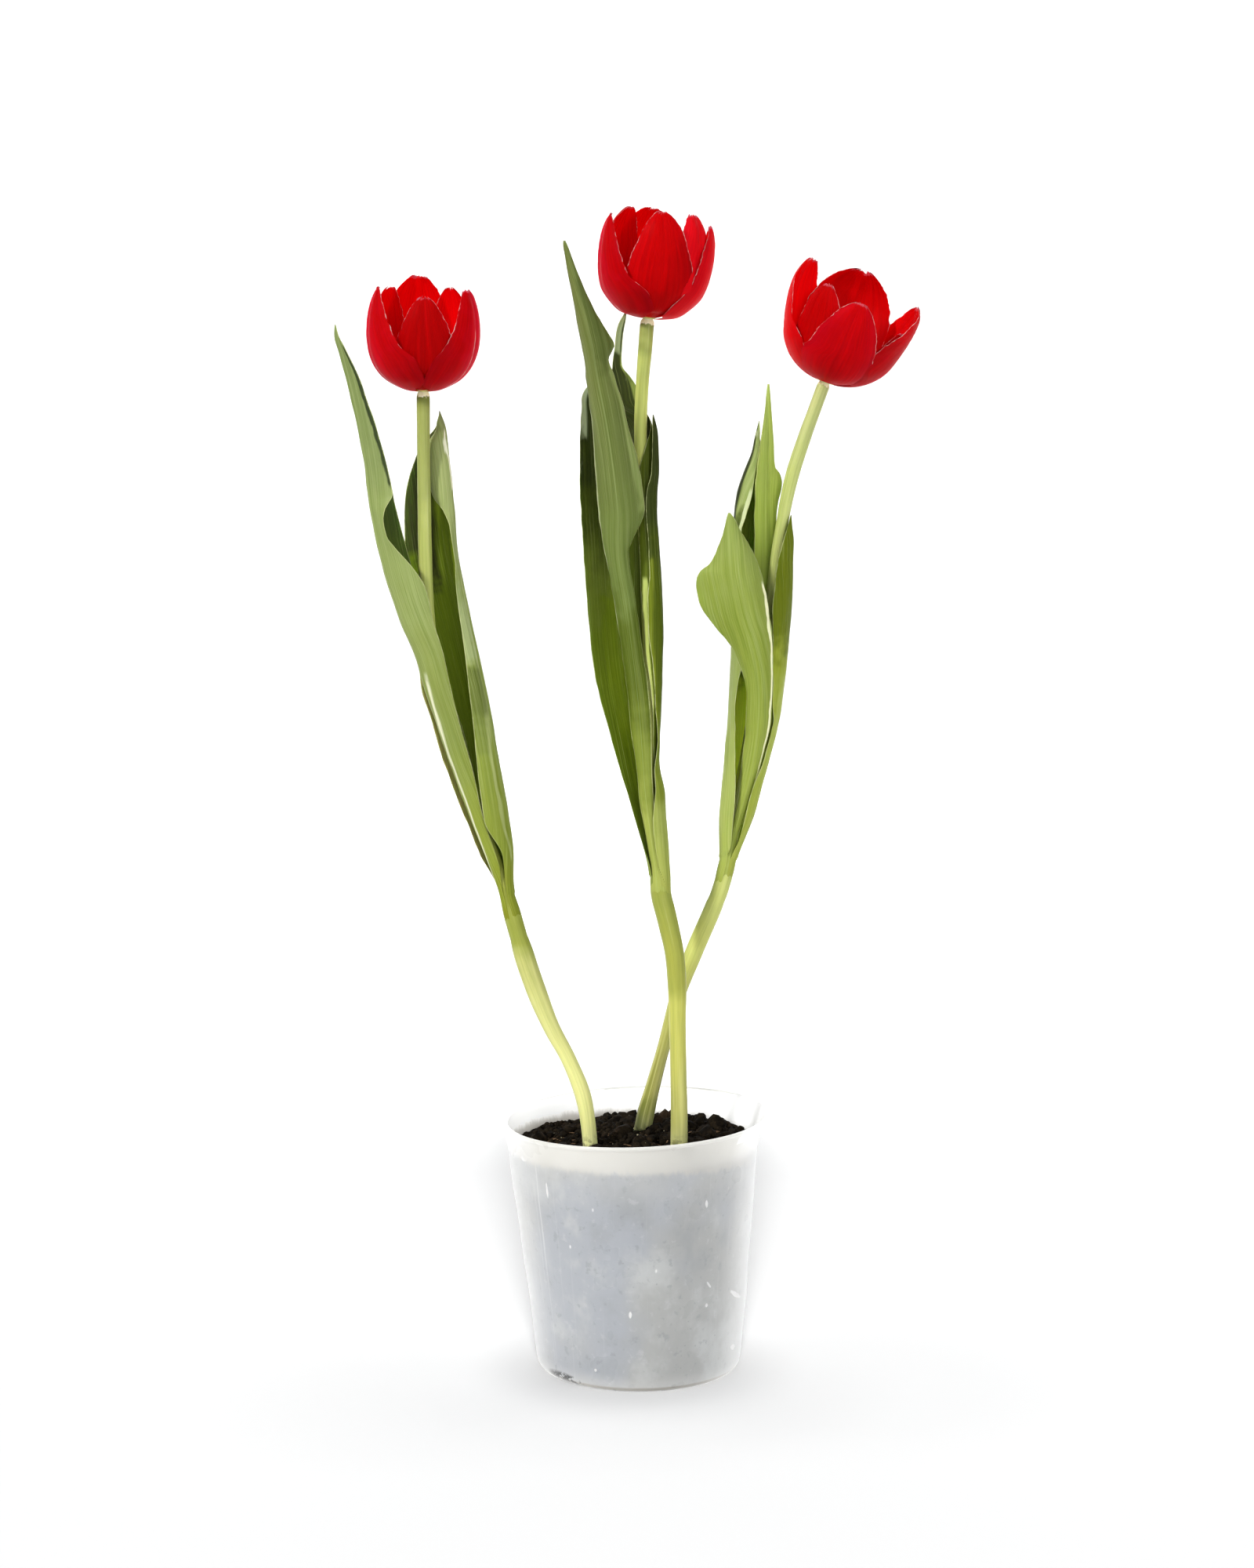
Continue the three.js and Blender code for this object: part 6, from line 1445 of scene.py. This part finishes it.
# --------------------------------------------------------------------- scene
# Leaf colours. Besides each leaf's own greens, the ladders, bands and lines hold painted light and painted shade, noted
# per leaf.
LEAF_SKIN = {
    # a1: the dark inside is painted shade; the pale low band is a painted highlight; the dark line high on the right
    # edge is painted shade on the shadowed flank.
    "leaf_a1": dict(
        outside=[(0.20, (0.22, 0.24, 0.012)), (0.245, (0.24, 0.285, 0.035)), (0.31, (0.225, 0.27, 0.062)), (0.375, (0.265, 0.32, 0.105)), (0.43, (0.215, 0.265, 0.092)), (0.48, (0.20, 0.245, 0.088))],
        inside=[(0.30, (0.17, 0.24, 0.008)), (0.35, (0.13, 0.19, 0.010)), (0.372, (0.080, 0.115, 0.014)), (0.41, (0.050, 0.075, 0.014))],
        shade_and_light_bands=[(1, 0.20, 0.34, 0.205, 0.32, (0.80, 0.79, 0.58), 0.9)],
        highlight_and_shade_lines=[(1, [(0.402, 1.04), (0.415, 0.97), (0.445, 0.90), (0.466, 0.92)], 0.17, (0.020, 0.030, 0.010), 0.92)],
    ),
    # a2: the dark inner band high up, the dark outside stretch from 0.286 to 0.323 and the darker top are painted
    # shadow; the paler stretch just above that shadow is painted light and the two pale lines near the top are painted
    # highlights; the low brown inner band is the sheath's own brown, painted lighter against shade.
    "leaf_a2": dict(
        outside=[(0.20, (0.22, 0.24, 0.014)), (0.25, (0.22, 0.265, 0.033)), (0.33, (0.245, 0.30, 0.064)), (0.38, (0.30, 0.345, 0.13))],
        inside=[(0.25, (0.18, 0.25, 0.008)), (0.38, (0.15, 0.21, 0.007)), (0.42, (0.18, 0.24, 0.012))],
        shade_and_light_bands=[
            (1, -0.50, -0.36, 0.24, 0.36, (0.50, 0.54, 0.24), 0.5), (0, 0.45, 1.4, 0.366, 0.46, (0.036, 0.036, 0.011), 0.93), (0, 0.78, 1.4, 0.212, 0.318, (0.62, 0.50, 0.22), 0.9),
            (1, -1.3, 0.3, 0.426, 0.46, (0.17, 0.19, 0.075), 0.8), (1, -1.3, -0.36, 0.300, 0.323, (0.085, 0.11, 0.015), 0.75), (1, -1.3, -0.45, 0.286, 0.302, (0.12, 0.155, 0.025), 0.4), (1, -1.3, -0.36, 0.328, 0.352, (0.40, 0.45, 0.24), 0.6),
        ],
        highlight_and_shade_lines=[
            (1, [(0.400, -0.12), (0.4135, -0.11), (0.4235, -0.20), (0.429, -0.22)], 0.045, (0.86, 0.86, 0.62), 0.9),
            (1, [(0.4165, -0.16), (0.425, -0.22)], 0.10, (0.80, 0.82, 0.60), 0.8),
        ],
    ),
    # b1: the dark outside from 0.285 upwards and the dark top band are painted shade; the lighter band on the right and
    # the pale line on the left edge are painted light.
    "leaf_b1": dict(
        outside=[(0.215, (0.36, 0.40, 0.09)), (0.25, (0.34, 0.38, 0.08)), (0.285, (0.19, 0.235, 0.030)), (0.312, (0.095, 0.128, 0.008)), (0.338, (0.088, 0.122, 0.008)), (0.364, (0.14, 0.187, 0.04)), (0.42, (0.130, 0.163, 0.038)), (0.47, (0.145, 0.172, 0.043))],
        inside=[(0.30, (0.10, 0.15, 0.006)), (0.45, (0.09, 0.13, 0.006))],
        shade_and_light_bands=[(1, 0.66, 1.0, 0.395, 0.458, (0.30, 0.37, 0.12), 0.7), (1, 0.0, 1.1, 0.458, 0.50, (0.085, 0.11, 0.020), 0.8)],
        highlight_and_shade_lines=[(1, [(0.340, -0.98), (0.44, -0.98)], 0.09, (0.40, 0.45, 0.24), 0.8)],
        bloom=0.18,
    ),
    # b2: the dark inside high up is painted shade from b1; the pale band at the top of the inside is painted light on
    # the folded tip.
    "leaf_b2": dict(
        outside=[(0.215, (0.24, 0.29, 0.06)), (0.30, (0.17, 0.22, 0.05)), (0.44, (0.17, 0.22, 0.06))],
        inside=[(0.28, (0.120, 0.172, 0.005)), (0.335, (0.13, 0.18, 0.008)), (0.357, (0.155, 0.20, 0.022)), (0.39, (0.070, 0.095, 0.008)), (0.42, (0.036, 0.050, 0.008))],
        shade_and_light_bands=[(0, -0.5, 0.1, 0.286, 0.348, (0.16, 0.22, 0.007), 0.8), (0, 0.30, 1.4, 0.4215, 0.48, (0.58, 0.66, 0.42), 0.95)],
    ),
    # b3: the dark outside, the dark inside and the dark tip band are painted shade; the yellow-green inner band near
    # the tip and the pale line on the left edge are painted light.
    "leaf_b3": dict(
        outside=[(0.215, (0.30, 0.35, 0.07)), (0.28, (0.13, 0.17, 0.012)), (0.42, (0.085, 0.115, 0.006)), (0.46, (0.20, 0.24, 0.10))],
        inside=[(0.28, (0.10, 0.14, 0.005)), (0.405, (0.06, 0.085, 0.004)), (0.425, (0.036, 0.046, 0.007)), (0.454, (0.036, 0.046, 0.010)), (0.460, (0.27, 0.32, 0.16))],
        shade_and_light_bands=[(0, -1.4, -0.62, 0.425, 0.454, (0.28, 0.34, 0.08), 0.9), (0, -1.4, -0.55, 0.459, 0.50, (0.034, 0.045, 0.020), 0.9)],
        highlight_and_shade_lines=[(1, [(0.285, -1.0), (0.313, -0.97), (0.344, -0.86), (0.364, -0.80)], 0.13, (0.50, 0.58, 0.15), 0.9)],
        bloom=0.10, bloomed=(0.20, 0.26, 0.02),
    ),
    # b4: the outside darkening to near black towards the top is painted shadow; the lighter band on the right is
    # painted light.
    "leaf_b4": dict(
        outside=[(0.215, (0.34, 0.37, 0.07)), (0.252, (0.33, 0.37, 0.085)), (0.275, (0.20, 0.24, 0.025)), (0.315, (0.088, 0.120, 0.004)), (0.36, (0.070, 0.098, 0.002)), (0.395, (0.036, 0.050, 0.004)), (0.44, (0.026, 0.034, 0.006))],
        inside=[(0.28, (0.10, 0.14, 0.005)), (0.42, (0.09, 0.13, 0.005))],
        shade_and_light_bands=[(1, -1.4, -0.78, 0.285, 0.372, (0.17, 0.21, 0.010), 0.85)],
        bloom=0.10, bloomed=(0.20, 0.26, 0.02),
    ),
    # c1: the dark inside is painted shade; the pale line along the right is a painted highlight.
    "leaf_c1": dict(
        outside=[(0.22, (0.34, 0.39, 0.08)), (0.25, (0.30, 0.36, 0.06)), (0.33, (0.25, 0.31, 0.045)), (0.39, (0.27, 0.33, 0.075))],
        inside=[(0.30, (0.12, 0.17, 0.006)), (0.38, (0.12, 0.17, 0.007))],
        highlight_and_shade_lines=[(1, [(0.240, 0.80), (0.254, 0.85), (0.262, 0.72), (0.270, 0.60), (0.287, 0.54), (0.305, 0.54), (0.320, 0.60), (0.334, 0.72), (0.362, 0.95)], 0.10, (0.92, 0.93, 0.56), 1.0)],
        bloom=0.22,
    ),
    # c2: the light inside is painted light where the inner face is lit; the darker inner half is painted shade; the
    # bright yellow-green low band is painted light.
    "leaf_c2": dict(
        outside=[(0.22, (0.40, 0.46, 0.09)), (0.40, (0.40, 0.47, 0.10))],
        inside=[(0.28, (0.44, 0.52, 0.07)), (0.38, (0.44, 0.54, 0.10)), (0.44, (0.42, 0.50, 0.12))],
        shade_and_light_bands=[(0, -1.1, -0.1, 0.30, 0.50, (0.24, 0.30, 0.04), 0.6), (0, 0.3, 1.4, 0.24, 0.31, (0.72, 0.82, 0.09), 0.9)],
    ),
    # c3: the bright low inner band is painted light in a shaded slit; the dark outside bands near the top are painted
    # shade; the light band beside them and the pale line are painted light.
    "leaf_c3": dict(
        outside=[(0.22, (0.36, 0.42, 0.08)), (0.26, (0.36, 0.42, 0.11)), (0.32, (0.28, 0.34, 0.09)), (0.42, (0.13, 0.17, 0.03)), (0.429, (0.34, 0.38, 0.20))],
        inside=[(0.26, (0.24, 0.28, 0.012)), (0.31, (0.13, 0.18, 0.006)), (0.40, (0.11, 0.15, 0.006))],
        shade_and_light_bands=[
            (0, -1.4, -0.4, 0.25, 0.315, (0.70, 0.80, 0.06), 0.9), (1, -0.02, 0.36, 0.388, 0.424, (0.020, 0.026, 0.012), 0.95),
            (1, 0.42, 1.4, 0.392, 0.424, (0.34, 0.41, 0.14), 0.9), (1, 0.30, 0.76, 0.366, 0.388, (0.060, 0.082, 0.010), 0.9),
        ],
        highlight_and_shade_lines=[(1, [(0.366, 0.80), (0.3955, 0.90), (0.402, 0.95)], 0.13, (0.55, 0.62, 0.33), 0.95)],
        bloom=0.1,
    ),
    # c4: the dark outside above 0.337 is painted shadow; the light low inside is painted light.
    "leaf_c4": dict(
        outside=[(0.22, (0.34, 0.38, 0.06)), (0.30, (0.37, 0.43, 0.06)), (0.322, (0.31, 0.36, 0.03)), (0.337, (0.140, 0.175, 0.002)), (0.40, (0.130, 0.165, 0.003))],
        inside=[(0.24, (0.46, 0.52, 0.12)), (0.275, (0.40, 0.46, 0.06)), (0.32, (0.13, 0.18, 0.004))],
        bloom=0.05, bloomed=(0.26, 0.31, 0.02),
    ),
}
for k, (name, rows) in enumerate(sorted(LEAVES.items())):
    build_leaf(name + "_look", rows, leaf_material(name + "_skin", seed=k + 1, **LEAF_SKIN[name]), 11 + 7 * k)

# a: the last stop is a painted shadow of the flower, and 0.24 to 0.30 is painted lighter, as painted light in the
# crevice between sheath and stem. b: the last stop is a painted shadow of the flower, and 0.40 to 0.458 is painted
# lighter, as painted light where the stem lies in shade.
STEM_MAT = {
    "a": stem_material("stem_skin_a", [(0.13, (0.74, 0.74, 0.30)), (0.165, (0.60, 0.60, 0.22)), (0.183, (0.53, 0.53, 0.18)), (0.203, (0.30, 0.33, 0.055)), (0.222, (0.24, 0.265, 0.030)), (0.24, (0.46, 0.50, 0.10)), (0.30, (0.50, 0.55, 0.14)), (0.385, (0.45, 0.49, 0.14)), (0.405, (0.37, 0.405, 0.12)), (0.43, (0.33, 0.36, 0.10)), (0.441, (0.17, 0.19, 0.035))], 1, 2.4),
    "b": stem_material("stem_skin_b", [(0.120, (0.42, 0.41, 0.115)), (0.150, (0.52, 0.51, 0.12)), (0.167, (0.53, 0.525, 0.115)), (0.190, (0.36, 0.37, 0.065)), (0.225, (0.30, 0.33, 0.060)), (0.36, (0.42, 0.47, 0.12)), (0.40, (0.64, 0.69, 0.18)), (0.435, (0.60, 0.65, 0.17)), (0.458, (0.50, 0.55, 0.15)), (0.4745, (0.22, 0.25, 0.06))], 4, 2.6),
    "c": stem_material("stem_skin_c", [(0.118, (0.17, 0.18, 0.03)), (0.137, (0.28, 0.27, 0.060)), (0.160, (0.38, 0.38, 0.085)), (0.185, (0.52, 0.53, 0.14)), (0.21, (0.57, 0.60, 0.18)), (0.235, (0.50, 0.55, 0.16)), (0.40, (0.50, 0.55, 0.18)), (0.44, (0.49, 0.53, 0.21))], 7, 1.8),
}
# Per petal: how strong the pale edge is on the left and right, where it starts and ends, and a pale lengthwise line
# that is a painted highlight (millimetres off the middle, from, to, strength).
PETAL_LINES = {
    "a1": ((0.2, 0.7, 0.50, 1.0), (1.3, 0.10, 0.42, 0.8)), "a2": ((0.8, 0.3, 0.55, 1.0), (-0.6, 0.10, 0.66, 0.9)),
    "a3": ((0.4, 0.5, 0.6, 1.0), None), "a4": ((0.25, 1.0, 0.50, 0.95), None), "a5": ((0.3, 0.9, 0.6, 1.0), None), "a6": ((0.3, 0.5, 0.5, 1.0), None),
    "b1": ((0.2, 0.6, 0.45, 1.0), (1.6, 0.08, 0.30, 0.8)), "b2": ((0.9, 0.4, 0.25, 1.0), None),
    "b3": ((0.5, 0.7, 0.6, 1.0), None), "b4": ((0.7, 1.0, 0.45, 1.0), None), "b5": ((0.5, 1.0, 0.5, 1.0), None), "b6": ((0.4, 0.5, 0.5, 1.0), None),
    "c1": ((0.8, 1.0, 0.45, 1.0), None), "c2": ((0.9, 0.6, 0.05, 1.0), None), "c3": ((1.0, 0.8, 0.5, 1.0), (-6.5, 0.15, 0.45, 0.8)),
    "c4": ((0.7, 0.9, 0.55, 1.0), None), "c5": ((0.5, 0.9, 0.5, 1.0), None), "c6": ((0.4, 0.4, 0.5, 1.0), None),
}


def petal_skin(key, i, inset):
    seed = {"a": 1, "b": 8, "c": 15}[key] + i
    tag = key + str(i + 1)
    # the inside is painted bright red, painted light for light that comes through the petals; the last argument below
    # sets how much painted shade lies low on the outside
    inside = {"c5": (0.40, 0.0003, 0.0012), "c3": (0.48, 0.0004, 0.0015), "b6": (0.76, 0.0004, 0.0018), "b5": (0.95, 0.0020, 0.004)}.get(tag, (0.80, 0.0003, 0.0015))
    if inset:
        body, sheen_flank = (0.40, 0.0002, 0.0006), (0.46, 0.0004, 0.0015)
    else:
        body, sheen_flank = (0.45, 0.0008, 0.0026), (0.64, 0.0036, 0.021)
    # b2, b5 and c2 are painted brighter, as painted light on petals that the lamps leave in shade
    if tag in ("b2", "b5"):
        body, sheen_flank = (0.78, 0.0030, 0.007), (0.84, 0.0060, 0.014)
    if tag == "c2":
        body, sheen_flank, inside = (0.63, 0.0006, 0.002), (0.68, 0.0010, 0.005), (1.0, 0.0005, 0.002)
    if tag == "c1":
        body, sheen_flank = (0.475, 0.0008, 0.0026), (0.53, 0.0010, 0.006)
    if tag == "b4":
        body, sheen_flank = (0.46, 0.0003, 0.0010), (0.52, 0.0006, 0.002)
    if tag == "a4":
        body, sheen_flank = (0.345, 0.0002, 0.0006), (0.39, 0.0003, 0.001)
    side = {"a1": -1, "a2": 1, "b1": -1, "b2": 1, "c2": -1, "c3": 1}.get(tag, 0)
    edges, line = PETAL_LINES[tag]
    return petal_material("petal_skin_" + tag, body, sheen_flank, inside, seed, side, {"b4": 0.0, "c1": 0.18}.get(tag, 0.30), edges, line)


PISTIL_MAT = plain_tissue("pistil_tissue", (0.42, 0.50, 0.16), (0.56, 0.60, 0.26), 260, 0.45, Specular_IOR_Level=0.4)
STAMEN_MAT = plain_tissue("anther_dust", (0.028, 0.016, 0.032), (0.075, 0.045, 0.060), 900, 0.8, Specular_IOR_Level=0.3)
BULB_MAT = plain_tissue("bulb_skin", (0.30, 0.14, 0.045), (0.46, 0.26, 0.10), 160, 0.55, Specular_IOR_Level=0.4)
for k in "abc":
    build_stem(k, STEM_MAT[k])
    for i in range(6):
        build_petal(k, i, petal_skin(k, i, FLOWERS[k]["petals"][i][3]))
    build_heart(k, PISTIL_MAT, STAMEN_MAT)
    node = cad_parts["bulb_" + k]
    node.data.materials.clear()
    node.data.materials.append(BULB_MAT)

STEM_FEET = []
for k in "abc":
    tab, _ = spine(STEMS["stem_" + k])
    s = tab(np.linspace(0, 1, 2000))
    j = int(np.argmin(np.abs(s[:, 2] - 106)))
    STEM_FEET.append((float(s[j, 0]), float(s[j, 1]), float(s[j, 3]) + 0.3))

build_pot(pot_material("frosted_plastic"))
build_soil(soil_material("potting_soil", False))
CRUMB_MAT = soil_material("soil_crumb", True)
rng = np.random.default_rng(17)
build_crumbs("soil_grains", CRUMB_MAT, rng, 1150, (0.5, 1.7), 0.25)
build_crumbs("soil_lumps", CRUMB_MAT, rng, 360, (1.4, 4.2), 0.18)
FIBRE_MAT = plain_tissue("peat_fibre", (0.10, 0.055, 0.028), (0.20, 0.12, 0.06), 500, 0.8, Specular_IOR_Level=0.25)
build_crumbs("peat_fibres", FIBRE_MAT, rng, 130, (0.35, 0.8), 0.5, flat=0.6, long=5.0)
PALE_MAT = plain_tissue("pale_grit", (0.42, 0.36, 0.20), (0.62, 0.56, 0.38), 700, 0.7, Specular_IOR_Level=0.3)
build_crumbs("pale_grit", PALE_MAT, rng, 60, (0.25, 0.6), 0.7)

# -------------------------------------------------------------------- studio
def stage_material(name):
    """Matt white paper, lit from within a little far back so that it stays white; darker on the upright part, where the low light is strongest."""
    n = Nodes(name)
    P = n.place()
    x, y, z = n.split(P)
    far = n.range(z, 0.0, 0.05)
    f = n.range(n.noise(P, 6, 3), 0.0, 1.0, 0.985, 1.0)
    c = n.mix(f, (0.293, 0.293, 0.293), (0.298, 0.298, 0.298))
    c = n.mix(far, c, (0.03, 0.03, 0.03))
    n.bsdf.inputs["Emission Color"].default_value = (1, 1, 1, 1)
    back = n.range(y, 0.33, 0.62, 0.0, 0.60)
    n.link(n.math("MAXIMUM", back, n.mul(far, 0.95)), n.bsdf.inputs["Emission Strength"])
    return n.finish(c, 0.9, n.bump(n.noise(P, 900, 2), 0.00005, 0.2), Specular_IOR_Level=0.0)


def sweep(name, y_back, radius, width, front, top, material):
    path = [(front, 0.0)]
    path += [(y_back - radius + radius * math.sin(a), radius - radius * math.cos(a)) for a in np.linspace(0, math.pi / 2, 24)]
    path.append((y_back, top))
    V, F = [], []
    for y, z in path:
        V += [[-width / 2, y, z], [width / 2, y, z]]
    for i in range(len(path) - 1):
        F.append([2 * i, 2 * i + 1, 2 * i + 3, 2 * i + 2])
    me = bpy.data.meshes.new(name)
    me.from_pydata(V, [], F)
    me.polygons.foreach_set("use_smooth", np.ones(len(me.polygons), bool))
    me.update()
    ob = bpy.data.objects.new(name, me)
    bpy.context.scene.collection.objects.link(ob)
    me.materials.append(material)
    return ob


pieces = [ob for ob in bpy.context.scene.objects if ob.type == "MESH"]
floor = sweep("studio_sweep", 2.6, 0.7, 3.4, -0.75, 2.4, stage_material("white_paper"))

scene = bpy.context.scene
world = bpy.data.worlds.new("studio_world")
scene.world = world
world.use_nodes = True
bg = world.node_tree.nodes["Background"]
bg.inputs[0].default_value = (0.95, 0.975, 1.0, 1)
bg.inputs[1].default_value = 0.42


def sun(name, travel, energy, angle, color, receivers):
    light = bpy.data.lights.new(name, "SUN")
    light.energy = energy
    light.angle = math.radians(angle)
    light.color = color
    ob = bpy.data.objects.new(name, light)
    ob.rotation_euler = Vector(travel).to_track_quat("-Z", "Y").to_euler()
    scene.collection.objects.link(ob)
    group = bpy.data.collections.new(name + "_lights")
    for r in receivers:
        group.objects.link(r)
    ob.light_linking.receiver_collection = group
    return ob


sun("key", (0.627, 0.527, -0.574), 2.5, 8, (1.0, 0.985, 0.955), pieces)
sun("fill", (-0.42, 0.87, -0.25), 1.45, 80, (0.99, 0.995, 1.0), pieces)
sun("edge", (-0.88, -0.30, -0.22), 1.3, 20, (1.0, 0.995, 0.98), [ob for ob in pieces if ob.name == "pot_look"])
for i, across in enumerate((-0.095, -0.045, 0.045, 0.085)):
    sun("paper_low_%d" % i, (across, 0.99, -0.139), 10.6, 4.5, (1, 1, 1), [floor])
sun("paper_top", (0.0, -0.10, -0.995), 3.0, 20, (1, 1, 1), [floor])

cam = bpy.data.cameras.new("camera")
cam.sensor_fit = "VERTICAL"
cam.sensor_height = 36.0
cam.lens = 77.265
camera = bpy.data.objects.new("camera", cam)
camera.location = (-0.0043815, -1.5, 0.4770175)
camera.rotation_euler = (math.radians(90 - 7.894), 0, 0)
scene.collection.objects.link(camera)
scene.camera = camera
scene.view_settings.view_transform = "Standard"
scene.view_settings.look = "None"
